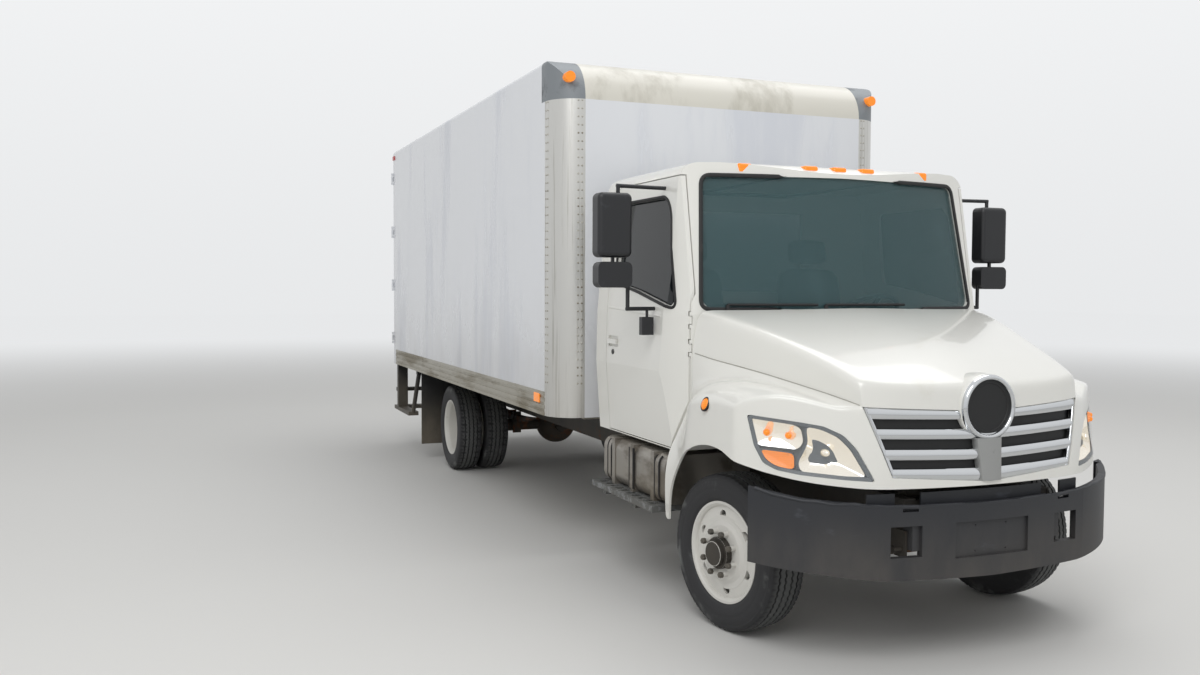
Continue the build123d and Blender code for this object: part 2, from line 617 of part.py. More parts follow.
with BuildPart() as grille:
    with BuildSketch(at_station(-600)) as grille_face:
        Polygon(*mirrored(GRILLE_HALF), align=None)
        for side in (1, -1):
            for inner, outer, top, height in GRILLE_SLOTS:
                inner_top = top - GRILLE_SLOT_FALL
                Polygon(
                    (side * inner, inner_top - height), (side * outer, top - height), (side * outer, top),
                    (side * inner, inner_top), align=None, mode=Mode.SUBTRACT,
                )
    extrude(amount=500)
    add(hood_form(0, GRILLE_DEPTHS[0]), mode=Mode.INTERSECT)
    add(hood_form(0, GRILLE_DEPTHS[1]), mode=Mode.SUBTRACT)
    with BuildSketch(at_station(-640)):
        with Locations((0, EMBLEM_Z)):
            Circle(EMBLEM_R + 40)
    extrude(amount=260, mode=Mode.SUBTRACT)
    with BuildSketch(at_station(EMBLEM_FACE + 40)):
        with Locations((0, EMBLEM_Z)):
            Circle(EMBLEM_R)
    extrude(amount=40)
    with BuildSketch(at_station(-800)):
        Polygon(*mirrored(GRILLE_POST), align=None)
    extrude(amount=80)
    add(hood_shell.part, mode=Mode.SUBTRACT)


# Tyres and rims, turned about the wheel's own axis along X
def tyre_at(x):
    """Tyre whose middle plane is at x; the bead seats on the rim."""
    half = TYRE_WIDTH / 2
    with BuildPart() as tyre:
        with BuildSketch(Plane.XZ):
            with BuildLine():
                Polyline((x - 86, RIM_R - 9), (x - 90, RIM_R + 1), (x - 101, RIM_R + 4), (x - 104, RIM_R + 17))
                ThreePointArc((x - 104, RIM_R + 17), (x - half, 325), (x - 96, TYRE_R - 16))
                ThreePointArc((x - 96, TYRE_R - 16), (x, TYRE_R), (x + 96, TYRE_R - 16))
                ThreePointArc((x + 96, TYRE_R - 16), (x + half, 325), (x + 104, RIM_R + 17))
                Polyline((x + 104, RIM_R + 17), (x + 101, RIM_R + 4), (x + 90, RIM_R + 1), (x + 86, RIM_R - 9))
                Line((x + 86, RIM_R - 9), (x - 86, RIM_R - 9))
            make_face()
        revolve(axis=Axis.X)
    return tyre.part


def rim_at(x, dish, hub_out, drum):
    """Disc wheel seen from outside along +X.

    The dish gives the disc's offsets at the rim, at its shoulder and at the hub. A wheel with a hub
    length carries the studs and the hub cap, and one with a drum carries the brake drum.
    """
    with BuildPart() as rim:
        with BuildSketch(Plane.XZ):
            Polygon(
                (x - 98, RIM_R), (x - 98, RIM_R - 12), (x - 88, RIM_R - 22), (x - 60, 226), (x + 60, 226),
                (x + 88, RIM_R - 22), (x + 98, RIM_R - 12), (x + 98, RIM_R), (x + 90, RIM_R),
                (x + 86, RIM_R - 9), (x - 86, RIM_R - 9), (x - 90, RIM_R), align=None,
            )
        revolve(axis=Axis.X)
        with BuildSketch(Plane.XZ):
            Polygon(
                (x + dish[0], 232), (x + dish[0] + 14, 232), (x + dish[1] + 14, 158), (x + dish[2] + 14, 138),
                (x + dish[2] + 14, 36), (x + dish[2], 36), (x + dish[2], 146), (x + dish[1], 166), align=None,
            )
        revolve(axis=Axis.X)
        with BuildSketch(Plane.YZ.offset(x - 200)):
            with PolarLocations(188, HAND_HOLES, start_angle=25):
                Circle(25)
        extrude(amount=400, mode=Mode.SUBTRACT)
        if hub_out:
            face_x = x + dish[2] + 14
            with BuildSketch(Plane.YZ.offset(face_x - 2)):
                with PolarLocations(STUD_CIRCLE_R, STUDS, start_angle=22.5):
                    Circle(13)
            extrude(amount=38)
            with BuildSketch(Plane.YZ.offset(face_x)):
                Circle(80)
            extrude(amount=hub_out)
            with BuildSketch(Plane.YZ.offset(face_x + hub_out)):
                Circle(62)
            extrude(amount=26)
        if drum:
            with BuildSketch(Plane.XZ):
                Polygon(
                    (x + dish[2], 36), (x + dish[2], 186), (x + dish[2] - 90, 186), (x + dish[2] - 90, 166),
                    (x + dish[2] - 14, 166), (x + dish[2] - 14, 84), (x + dish[2] - 40, 84), (x + dish[2] - 40, 36),
                    align=None,
                )
            revolve(axis=Axis.X)
    return rim.part


def steered(piece, side):
    """Piece built with the wheels straight, turned about its kingpin to the rest angle."""
    return piece.rotate(Axis((side * KINGPIN_X, FRONT_AXLE_Y, 0), (0, 0, 1)), STEER_ANGLE)


def knuckle(side):
    """Kingpin yoke, spindle and steering arm of one side."""
    with BuildPart() as knuckle_part:
        for z in ((318, 366), (438, 486)):
            block((side * (KINGPIN_X - 42), side * (KINGPIN_X + 62)), (-38, 38), z)
        block((side * (KINGPIN_X + 50), side * (KINGPIN_X + 74)), (-38, 38), (318, 486))
        rod((side * KINGPIN_X, 0, 312), (side * KINGPIN_X, 0, 492), 17)
        rod((side * (KINGPIN_X + 60), 0, HUB_Z), (side * 945, 0, HUB_Z), 28)
        block((side * (KINGPIN_X - 18), side * (KINGPIN_X + 18)), (20, STEER_ARM), (322, 340))
        rod((side * KINGPIN_X, STEER_ARM, 322), (side * KINGPIN_X, STEER_ARM, 340), 22)
        rod((side * KINGPIN_X, STEER_ARM, 318), (side * KINGPIN_X, STEER_ARM, 344), 10, Mode.SUBTRACT)
    return knuckle_part.part


front_tyre = Pos(0, FRONT_AXLE_Y, HUB_Z) * tyre_at(FRONT_TYRE_X)
front_rim = Pos(0, FRONT_AXLE_Y, HUB_Z) * rim_at(FRONT_TYRE_X, (62, 72, 84), 34, True)
rear_hub = Pos(0, FRONT_AXLE_Y + WHEELBASE, HUB_Z)
rear_tyres = rear_hub * Compound(children=[tyre_at(x) for x in REAR_TYRE_X])

with BuildPart() as rear_rims:
    with Locations(rear_hub):
        add(rim_at(REAR_TYRE_X[0], (-60, -80, HUB_FACE_X - REAR_TYRE_X[0]), 60, False))
        add(rim_at(REAR_TYRE_X[1], (60, 80, HUB_FACE_X - REAR_TYRE_X[1] - 14), 0, True))

with BuildPart() as tie_rod:
    arm = Vector(0, STEER_ARM).rotate(Axis.Z, STEER_ANGLE)
    ends = [(side * KINGPIN_X + arm.X, arm.Y, TIE_ROD_Z) for side in (1, -1)]
    rod(ends[0], ends[1], 13)
    for x, station, z in ends:
        rod((x, station, z - 14), (x, station, z + 14), 24)
        rod((x, station, z + 14), (x, station, z + 34), 9)

# Side equipment hung from the frame
with BuildPart() as fuel_tank:
    block((-1045, -520), (440, 1320), (556, 828))
    fillet(fuel_tank.edges().filter_by(Axis.Y), 62)
    for station in (600, 880, 1160):
        block((-1050, -515), (station - 22, station + 22), (556, 833))
    fillet(fuel_tank.edges().filter_by(Axis.Y).group_by(Axis.Z)[-1], 2)

with BuildPart() as battery_box:
    block((520, 1030), (470, 1180), (556, 826))
    fillet(battery_box.edges().filter_by(Axis.Y).group_by(Axis.Z)[-1], 24)
    block((515, 1036), (790, 830), (556, 832))

with BuildPart() as side_steps:
    for side in (1, -1):
        block((side * 850, side * 1120), (445, 1335), (522, 556))
        for x, station in ((side * a, 445 + 80 * k) for a in (900, 985, 1070) for k in range(1, 11)):
            with Locations((x, FRONT_AXLE_Y + station, 539)):
                Box(56, 46, 40, mode=Mode.SUBTRACT)
        for station in (760, 1200):
            block((side * 438, side * 1090), (station - 24, station + 24), (488, 522))
            block((side * RAIL_X, side * 445), (station - 24, station + 24), (488, 760))

with BuildPart() as exhaust:
    rod((640, 1560, 600), (640, 2560, 600), 125)
    rod((640, 1330, 600), (640, 1560, 600), 50)
    rod((640, 2560, 600), (640, 3950, 600), 50)
    rod((640, 3950, 600), (1010, 4080, 560), 50)
    for station in (1660, 2460):
        block((RAIL_X, 640), (station - 15, station + 15), (700, 740))


# Van body envelope
def body_form(inset):
    """Closed outer volume of the van body, drawn in by the inset."""
    with BuildPart() as form:
        with BuildSketch(PLAN.offset(RAIL_BOTTOM_Z)) as plan:
            with Locations((0, (BOX_FRONT + BOX_REAR) / 2)):
                Rectangle(2 * BOX_HALF_WIDTH, BOX_REAR - BOX_FRONT)
            fillet(plan.vertices().group_by(Axis.Y)[0], CORNER_R)
            if inset:
                offset(amount=-inset)
        extrude(amount=ROOF_Z - RAIL_BOTTOM_Z)
        with BuildSketch(SIDE) as profile:
            with Locations(((BOX_FRONT + BOX_REAR) / 2, ROOF_Z / 2)):
                Rectangle(BOX_REAR - BOX_FRONT, ROOF_Z)
            fillet(profile.vertices().group_by(Axis.Y)[-1].sort_by(Axis.X)[0], ROOF_R)
            if inset:
                offset(amount=-inset)
        extrude(amount=1400, both=True, mode=Mode.INTERSECT)
        with BuildSketch(at_station(BOX_FRONT - 10)) as face:
            with Locations((0, ROOF_Z / 2)):
                Rectangle(2 * BOX_HALF_WIDTH, ROOF_Z)
            fillet(face.vertices().group_by(Axis.Y)[-1], 38)
            if inset:
                offset(amount=-inset)
        extrude(amount=-6000, mode=Mode.INTERSECT)
    return form.part


def body_slice(thickness, blocks):
    """The part of the body's skin, of one thickness, that lies in the given blocks."""
    with BuildPart() as zone:
        for x, station, z in blocks:
            block(x, station, z)
    with BuildPart() as panel:
        add(body_outer)
        add(body_form(thickness), mode=Mode.SUBTRACT)
        add(zone.part, mode=Mode.INTERSECT)
    return panel.part


body_outer = body_form(0)
POST_END = BOX_FRONT + CORNER_R
ROOF_START = BOX_FRONT + ROOF_R
CAP_X = BOX_HALF_WIDTH - CORNER_R
CAP_Z = ROOF_Z - ROOF_R
PORTAL_FRONT = BOX_REAR - PORTAL_DEPTH
SIDES = ((1150, 1300), (-1300, -1150))

box_side_walls = body_slice(
    BOX_WALL,
    [(x, (POST_END, PORTAL_FRONT), (RAIL_TOP_Z, CAP_Z)) for x in SIDES]
    + [(x, (ROOF_START, PORTAL_FRONT), (CAP_Z - 1, TOP_RAIL_Z)) for x in SIDES],
)
box_front_wall = body_slice(BOX_WALL, [((-CAP_X, CAP_X), (1600, 1720), (RAIL_BOTTOM_Z, CAP_Z))])
corner_posts = body_slice(18, [((side * CAP_X, side * 1300), (1600, POST_END), (RAIL_BOTTOM_Z, CAP_Z)) for side in (1, -1)])
corner_caps = body_slice(26, [((side * CAP_X, side * 1300), (1600, ROOF_START), (CAP_Z, 3300)) for side in (1, -1)])
front_radius = body_slice(20, [((-CAP_X, CAP_X), (1600, ROOF_START), (CAP_Z, 3300))])

with BuildPart() as box_roof:
    add(body_slice(24, [((-1300, 1300), (ROOF_START, PORTAL_FRONT), (TOP_RAIL_Z, 3300))]))
    for side in (1, -1):
        block((side * 1190, side * 1228), (ROOF_START, PORTAL_FRONT), (TOP_RAIL_Z, 3150))
    for station in range(2330, 6800, 610):
        block((-1195, 1195), (station - 20, station + 20), (3160, 3200))

with BuildPart() as box_floor:
    for side in (1, -1):
        block((side * 398, side * 458), (1700, 6930), (RAIL_Z[1], 880))
        block((side * 1196, side * (BOX_HALF_WIDTH + 4)), (POST_END, PORTAL_FRONT), (RAIL_BOTTOM_Z, RAIL_TOP_Z))
        for z in (930, 975, 1020):
            block(
                (side * (BOX_HALF_WIDTH - 2), side * (BOX_HALF_WIDTH + 6)), (POST_END, PORTAL_FRONT), (z - 9, z + 9),
                Mode.SUBTRACT,
            )
    for station in range(1730, 6900, 400):
        reach = 1198 if station > POST_END else 1030
        block((-reach, reach), (station - 25, station + 25), (880, DECK_Z[0]))
        block((-reach, reach), (station - 19, station + 30), (888, DECK_Z[0] - 8), Mode.SUBTRACT)
    block((-1198, 1198), (POST_END, PORTAL_FRONT), DECK_Z)
    block((-CAP_X, CAP_X), (BOX_FRONT + BOX_WALL, POST_END), DECK_Z)


def hinge_knuckles(side, radius, gap, mode=Mode.ADD):
    """Barrels on the rear door's hinge line, between the strap knuckles when the gap is positive."""
    for z in HINGE_HEIGHTS:
        spans = ((z - 30, z + 30),) if gap == 0 else ((z - 62, z - 30 - gap), (z + 30 + gap, z + 62))
        for low, high in spans:
            rod((side * HINGE_X, HINGE_STATION, low), (side * HINGE_X, HINGE_STATION, high), radius, mode)


with BuildPart() as rear_portal:
    block((-BOX_HALF_WIDTH, BOX_HALF_WIDTH), (PORTAL_FRONT, BOX_REAR), (RAIL_BOTTOM_Z, ROOF_Z))
    fillet(rear_portal.edges().filter_by(Axis.Y).group_by(Axis.Z)[-1], 38)
    opening_x = BOX_HALF_WIDTH - PORTAL_POST
    block((-opening_x, opening_x), (PORTAL_FRONT, BOX_REAR), PORTAL_OPENING[1], Mode.SUBTRACT)
    for side in (1, -1):
        for z in HINGE_HEIGHTS:
            for low, high in ((z - 62, z - 34), (z + 34, z + 62)):
                block((side * (BOX_HALF_WIDTH - 14), side * HINGE_X), (BOX_REAR, BOX_REAR + 19), (low, high))
        hinge_knuckles(side, 11, 4)

with BuildPart() as left_rear_door:
    block((4, opening_x - 6), (BOX_REAR - 45, BOX_REAR - 5), (PORTAL_OPENING[1][0] + 6, PORTAL_OPENING[1][1] - 6))
    for z in HINGE_HEIGHTS:
        block((opening_x - 120, opening_x - 10), (BOX_REAR - 5, BOX_REAR + 13), (z - 26, z + 26))
        block((opening_x - 120, HINGE_X), (BOX_REAR + 6, BOX_REAR + 14), (z - 26, z + 26))
    hinge_knuckles(1, 11, 0)
    rod((LOCK_ROD_X, BOX_REAR + 14, 1060), (LOCK_ROD_X, BOX_REAR + 14, 3080), 13)
    for z in (1120, 1700, 2400, 3020):
        block((LOCK_ROD_X - 34, LOCK_ROD_X + 34), (BOX_REAR - 5, BOX_REAR + 22), (z - 24, z + 24))
    block((LOCK_ROD_X - 14, LOCK_ROD_X + 190), (BOX_REAR + 16, BOX_REAR + 30), (1390, 1420))
    block((LOCK_ROD_X + 150, LOCK_ROD_X + 190), (BOX_REAR - 5, BOX_REAR + 16), (1380, 1430))

# Rear mud flaps and the step bumper below the tail
with BuildPart() as mud_flaps:
    for side in (1, -1):
        block((side * 640, side * 1220), (5730, 5742), (170, 876))
        block((side * 640, side * 1220), (5724, 5748), (850, 880))

with BuildPart() as rear_bumper:
    for side in (1, -1):
        block((side * 1120, side * 1225), (6340, 7090), (385, 425))
        block((side * 1120, side * 1225), (6880, 6945), (425, RAIL_BOTTOM_Z))
        block((side * 1150, side * 1195), (6040, 6100), (840, RAIL_BOTTOM_Z))
        rod((side * 1172, 6070, 850), (side * 1172, 6370, 405), 22)
        block((side * 400, side * 460), (6840, 6930), (385, RAIL_Z[0]))
    block((-1225, 1225), (6990, 7100), (385, 425))
    block((-1225, 1225), (6935, 7000), (590, 630))
    for k in range(-11, 12):
        block((k * 100 - 36, k * 100 + 36), (7015, 7075), (380, 430), Mode.SUBTRACT)

# Lamps
with BuildPart() as amber_lamps:
    for x, station in CAB_LAMPS:
        with Locations((x, FRONT_AXLE_Y + station + 8, 2404)):
            Box(96, 76, 46)
    fillet(amber_lamps.edges().filter_by(Axis.Z), 22)
    fillet(amber_lamps.faces().sort_by(Axis.Z)[-5:].edges(), 12)
    add(cab_outer, mode=Mode.SUBTRACT)
    for side in (1, -1):
        rod((side * 1150, 1655, 3085), (side * 1150, 1800, 3085), 34)
        block((side * BOX_HALF_WIDTH, side * (BOX_HALF_WIDTH + 10)), (1950, 2060), (975, 1035))
    add(body_outer, mode=Mode.SUBTRACT)
    for side in (1, -1):
        block((side * BOX_HALF_WIDTH, side * (BOX_HALF_WIDTH + 4)), (1940, 2070), (960, 1050), Mode.SUBTRACT)

with BuildPart() as red_lamps:
    for side in (1, -1):
        block((side * BOX_HALF_WIDTH, side * (BOX_HALF_WIDTH + 12)), (6890, 6960), (3120, 3160))
        for x in (1090, 960, 830):
            rod((side * x, BOX_REAR, 960), (side * x, BOX_REAR + 14, 960), 50)

# Turned and mirrored pieces
left_knuckle = steered(knuckle(1), 1)
right_knuckle = steered(knuckle(-1), -1)
left_front_tyre = steered(front_tyre, 1)
left_front_rim = steered(front_rim, 1)
right_front_tyre = steered(mirror(front_tyre, about=Plane.YZ), -1)
right_front_rim = steered(mirror(front_rim, about=Plane.YZ), -1)

pieces = {
    "frame_rails": frame_rails.part,
    "front_axle": front_axle.part,
    "rear_axle": rear_axle.part,
    "engine_block": engine_block.part,
    "radiator": radiator.part,
    "front_bumper": front_bumper.part,
    "cab_shell": cab_shell.part,
    "cab_glass": cab_glass.part,
    "dashboard": dashboard.part,
    "seats": seats.part,
    "wipers": wipers.part,
    "amber_lamps": amber_lamps.part,
    "red_lamps": red_lamps.part,
    "fuel_tank": fuel_tank.part,
    "battery_box": battery_box.part,
    "side_steps": side_steps.part,
    "exhaust": exhaust.part,
    "box_floor": box_floor.part,
    "box_side_walls": box_side_walls,
    "box_front_wall": box_front_wall,
    "corner_posts": corner_posts,
    "corner_caps": corner_caps,
    "front_radius": front_radius,
    "box_roof": box_roof.part,
    "rear_portal": rear_portal.part,
    "mud_flaps": mud_flaps.part,
    "rear_bumper": rear_bumper.part,
    "hood_shell": hood_shell.part,
    "grille": grille.part,
    "headlamps": headlamps.part,
    "left_door": left_door.part,
    "right_door": mirror(left_door.part, about=Plane.YZ),
    "left_door_glass": left_door_glass.part,
    "right_door_glass": mirror(left_door_glass.part, about=Plane.YZ),
    "left_mirrors": left_mirrors.part,
    "right_mirrors": mirror(left_mirrors.part, about=Plane.YZ),
    "left_rear_door": left_rear_door.part,
    "right_rear_door": mirror(left_rear_door.part, about=Plane.YZ),
    "left_knuckle": left_knuckle,
    "right_knuckle": right_knuckle,
    "tie_rod": tie_rod.part,
    "left_front_tyre": left_front_tyre,
    "right_front_tyre": right_front_tyre,
    "left_front_rim": left_front_rim,
    "right_front_rim": right_front_rim,
    "left_rear_tyres": rear_tyres,
    "right_rear_tyres": mirror(rear_tyres, about=Plane.YZ),
    "left_rear_rims": rear_rims.part,
    "right_rear_rims": mirror(rear_rims.part, about=Plane.YZ),
}
os.makedirs("parts", exist_ok=True)
for name, piece in pieces.items():
    piece.label = name
    export_step(piece, f"parts/{name}.step")
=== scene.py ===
import json
import math

import bmesh
import bpy
from mathutils import Matrix, Vector
from mathutils.bvhtree import BVHTree


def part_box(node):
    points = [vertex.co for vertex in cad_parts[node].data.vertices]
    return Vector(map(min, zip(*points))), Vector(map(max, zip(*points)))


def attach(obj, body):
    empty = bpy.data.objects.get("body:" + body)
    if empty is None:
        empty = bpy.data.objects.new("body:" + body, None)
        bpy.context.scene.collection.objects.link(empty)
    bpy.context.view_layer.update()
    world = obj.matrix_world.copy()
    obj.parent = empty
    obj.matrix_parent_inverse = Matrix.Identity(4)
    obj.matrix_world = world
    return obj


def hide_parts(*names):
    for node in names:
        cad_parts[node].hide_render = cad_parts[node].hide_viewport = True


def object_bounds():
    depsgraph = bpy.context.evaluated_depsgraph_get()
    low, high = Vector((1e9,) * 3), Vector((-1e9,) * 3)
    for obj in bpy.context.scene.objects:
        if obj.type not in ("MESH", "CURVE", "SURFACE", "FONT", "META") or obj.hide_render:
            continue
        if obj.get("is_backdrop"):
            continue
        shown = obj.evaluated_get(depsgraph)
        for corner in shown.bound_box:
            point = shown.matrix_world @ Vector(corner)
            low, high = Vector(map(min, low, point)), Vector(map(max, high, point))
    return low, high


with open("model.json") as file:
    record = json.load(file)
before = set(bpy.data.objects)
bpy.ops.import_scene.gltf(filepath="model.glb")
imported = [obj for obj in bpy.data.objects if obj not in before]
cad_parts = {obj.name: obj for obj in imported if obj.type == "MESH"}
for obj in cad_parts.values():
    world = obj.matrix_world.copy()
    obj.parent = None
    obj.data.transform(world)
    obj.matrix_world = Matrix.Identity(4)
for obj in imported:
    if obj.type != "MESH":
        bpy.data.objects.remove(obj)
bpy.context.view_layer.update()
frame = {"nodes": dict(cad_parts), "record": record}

nodes = frame["nodes"]
frontAxleY = -3.07
print("frame loaded with", len(nodes), "nodes")


def at(x, station, z):
    # station is measured back from the front axle
    return Vector((x, frontAxleY + station, z))


# camera
camera = {
    "place": (-3.5206, -7.8171, 1.7427), "yaw": 0.3829, "pitch": 0.0471, "roll": 0.0041,
    "lens": 31.86, "sensor": 36, "farthest": 200,
}
cameraData = bpy.data.cameras.new("camera")
cameraData.lens = camera["lens"]
cameraData.sensor_width = camera["sensor"]
cameraData.clip_end = camera["farthest"]
cameraObject = bpy.data.objects.new("camera", cameraData)
bpy.context.scene.collection.objects.link(cameraObject)
forward = math.cos(camera["pitch"])
ahead = Vector((
    math.sin(camera["yaw"]) * forward, math.cos(camera["yaw"]) * forward, -math.sin(camera["pitch"]),
))
level = ahead.cross(Vector((0, 0, 1))).normalized()
above = level.cross(ahead)
turn = camera["roll"]
across = math.cos(turn) * level + math.sin(turn) * above
upward = -math.sin(turn) * level + math.cos(turn) * above
aim = Matrix((across, upward, -ahead)).transposed().to_4x4()
aim.translation = camera["place"]
cameraObject.matrix_world = aim
bpy.context.scene.camera = cameraObject
bpy.context.scene.view_settings.view_transform = "Standard"


# shader helpers
def srgb(red, green, blue):
    return tuple(((c / 255 + 0.055) / 1.055) ** 2.4 if c > 10 else c / 255 / 12.92 for c in (red, green, blue)) + (1,)


def feed(tree, sockets, values):
    # link or set each named socket
    for name, value in values.items():
        if isinstance(value, bpy.types.NodeSocket):
            tree.links.new(value, sockets[name])
        else:
            sockets[name].default_value = value


def putNode(tree, kind, inputs, **settings):
    made = tree.nodes.new(kind)
    for name, value in settings.items():
        setattr(made, name, value)
    feed(tree, made.inputs, inputs)
    return made


def mixColors(tree, mask, first, second):
    return putNode(tree, "ShaderNodeMix", {0: mask, 6: first, 7: second}, data_type="RGBA").outputs[2]


def remap(tree, value, fromLow, fromHigh, toLow, toHigh, kind="LINEAR"):
    return putNode(
        tree, "ShaderNodeMapRange",
        {"Value": value, "From Min": fromLow, "From Max": fromHigh, "To Min": toLow, "To Max": toHigh},
        interpolation_type=kind,
    ).outputs["Result"]


def blend(tree, mask, first, second):
    return remap(tree, mask, 0.0, 1.0, first, second)


def fade(tree, value, low, high, toLow=0.0, toHigh=1.0):
    return remap(tree, value, low, high, toLow, toHigh, "SMOOTHSTEP")


def math2(tree, operation, first, second):
    return putNode(tree, "ShaderNodeMath", {0: first, 1: second}, operation=operation).outputs[0]


def times(tree, first, *others):
    for other in others:
        first = math2(tree, "MULTIPLY", first, other)
    return first


def objectPlace(tree):
    return tree.nodes.new("ShaderNodeTexCoord").outputs["Object"]


def stretched(tree, stretch):
    return putNode(tree, "ShaderNodeVectorMath", {0: objectPlace(tree), 1: stretch}, operation="MULTIPLY").outputs[0]


def noise(tree, place, scale, detail, rough=0.5):
    inputs = {"Vector": place, "Scale": scale, "Detail": detail, "Roughness": rough}
    return putNode(tree, "ShaderNodeTexNoise", inputs).outputs["Fac"]


def wave(tree, scale, direction, distortion=0.0):
    inputs = {"Vector": objectPlace(tree), "Scale": scale, "Distortion": distortion}
    return putNode(tree, "ShaderNodeTexWave", inputs, bands_direction=direction).outputs["Fac"]


def bump(tree, height, strength, depth):
    inputs = {"Height": height, "Strength": strength, "Distance": depth}
    return putNode(tree, "ShaderNodeBump", inputs).outputs["Normal"]


def newGroup(name, inputs, outputs):
    # an input is a number, a vector or a colour by the length of its value
    group = bpy.data.node_groups.new(name, "ShaderNodeTree")
    for label, value in inputs.items():
        kind = {3: "Vector", 4: "Color"}[len(value)] if isinstance(value, tuple) else "Float"
        group.interface.new_socket(name=label, in_out="INPUT", socket_type="NodeSocket" + kind).default_value = value
    for label in outputs:
        kind = {"Color": "Color", "Normal": "Vector"}.get(label, "Float")
        group.interface.new_socket(name=label, in_out="OUTPUT", socket_type="NodeSocket" + kind)
    return group, group.nodes.new("NodeGroupInput").outputs, group.nodes.new("NodeGroupOutput").inputs


def fillGroup(tree, group, inputs):
    made = tree.nodes.new("ShaderNodeGroup")
    made.node_tree = group
    feed(tree, made.inputs, inputs)
    return made.outputs


# patches where a surface has aged: chalky paint, dull metal, stains
aging, given, put = newGroup("agedSurface", {
    "Clean Color": (0.8, 0.8, 0.8, 1), "Aged Color": (0.5, 0.5, 0.5, 1), "Clean Roughness": 0.3,
    "Aged Roughness": 0.6, "Patch Scale": 3.0, "Amount": 0.4, "Stretch": (1, 1, 1),
}, ("Color", "Roughness", "Mask"))
patches = noise(aging, stretched(aging, given["Stretch"]), given["Patch Scale"], 8.0, 0.62)
threshold = math2(aging, "SUBTRACT", 0.86, times(aging, given["Amount"], 0.55))
patchMask = fade(aging, patches, threshold, math2(aging, "ADD", threshold, 0.16))
feed(aging, put, {
    "Color": mixColors(aging, patchMask, given["Clean Color"], given["Aged Color"]),
    "Roughness": blend(aging, patchMask, given["Clean Roughness"], given["Aged Roughness"]), "Mask": patchMask,
})

# dust thrown up from the road, thick near the ground and thinning out upwards
roadDust, given, put = newGroup("roadDust", {
    "Color": (0.8, 0.8, 0.8, 1), "Roughness": 0.3, "Dust Color": (0.3, 0.26, 0.2, 1), "Low Height": 0.4,
    "High Height": 1.4, "Strength": 0.5, "Scale": 5.0,
}, ("Color", "Roughness"))
height = putNode(roadDust, "ShaderNodeSeparateXYZ", {0: objectPlace(roadDust)}).outputs["Z"]
cloud = noise(roadDust, stretched(roadDust, (1.0, 1.0, 0.45)), given["Scale"], 7.0, 0.6)
low = fade(roadDust, height, given["Low Height"], given["High Height"], 1.0, 0.0)
dustMask = times(roadDust, low, remap(roadDust, cloud, 0.3, 0.72, 0.25, 1.0), given["Strength"])
feed(roadDust, put, {
    "Color": mixColors(roadDust, dustMask, given["Color"], given["Dust Color"]),
    "Roughness": blend(roadDust, dustMask, given["Roughness"], 0.9),
})

# fine surface grain: orange peel in paint, mill lines in metal, moulded texture in plastic
surfaceGrain, given, put = newGroup("surfaceGrain", {
    "Scale": 100.0, "Strength": 0.2, "Depth": 0.001, "Stretch": (1, 1, 1), "Detail": 3.0,
}, ("Normal",))
grainNoise = noise(surfaceGrain, stretched(surfaceGrain, given["Stretch"]), given["Scale"], given["Detail"])
feed(surfaceGrain, put, {"Normal": bump(surfaceGrain, grainNoise, given["Strength"], given["Depth"])})

# chips and rust that bloom in small clusters
rustBloom, given, put = newGroup("rustBloom", {
    "Color": (0.8, 0.8, 0.8, 1), "Roughness": 0.4, "Metallic": 0.0, "Rust Color": srgb(112, 66, 38),
    "Scale": 9.0, "Amount": 0.3,
}, ("Color", "Roughness", "Metallic"))
wide = noise(rustBloom, objectPlace(rustBloom), given["Scale"], 9.0, 0.7)
rustEdge = math2(rustBloom, "SUBTRACT", 0.8, times(rustBloom, given["Amount"], 0.4))
rustMask = fade(rustBloom, wide, rustEdge, math2(rustBloom, "ADD", rustEdge, 0.07))
rustTone = noise(rustBloom, objectPlace(rustBloom), 60.0, 4.0)
rustShade = mixColors(rustBloom, rustTone, given["Rust Color"], srgb(70, 40, 26))
feed(rustBloom, put, {
    "Color": mixColors(rustBloom, rustMask, given["Color"], rustShade),
    "Roughness": blend(rustBloom, rustMask, given["Roughness"], 0.92),
    "Metallic": blend(rustBloom, rustMask, given["Metallic"], 0.0),
})
print("shader groups made")


def newMaterial(name):
    material = bpy.data.materials.new(name)
    material.use_nodes = True
    return material, material.node_tree, material.node_tree.nodes["Principled BSDF"]


def agedLayer(tree, clean, aged, rough, agedRough, scale, amount, stretch=(1, 1, 1)):
    return fillGroup(tree, aging, {
        "Clean Color": clean, "Aged Color": aged, "Clean Roughness": rough, "Aged Roughness": agedRough,
        "Patch Scale": scale, "Amount": amount, "Stretch": stretch,
    })


# a look's values where its own dictionary gives none; the aged roughness is then this much above the clean one
plainLook = {
    "roughening": 0.2, "patchScale": 3.0, "agedAmount": 0.5, "stretch": (1, 1, 1), "metal": 0.0,
    "rust": 0.0, "rustScale": 9.0, "dust": (150, 140, 122), "dustFrom": 0.35, "dustTo": 1.3, "dustAmount": 0.45,
    "grain": 0.12, "grainScale": 260.0, "grainDepth": 0.0006, "grainStretch": (1, 1, 1), "grainDetail": 2.0,
    "coat": 0.0, "coatRough": 0.06,
}


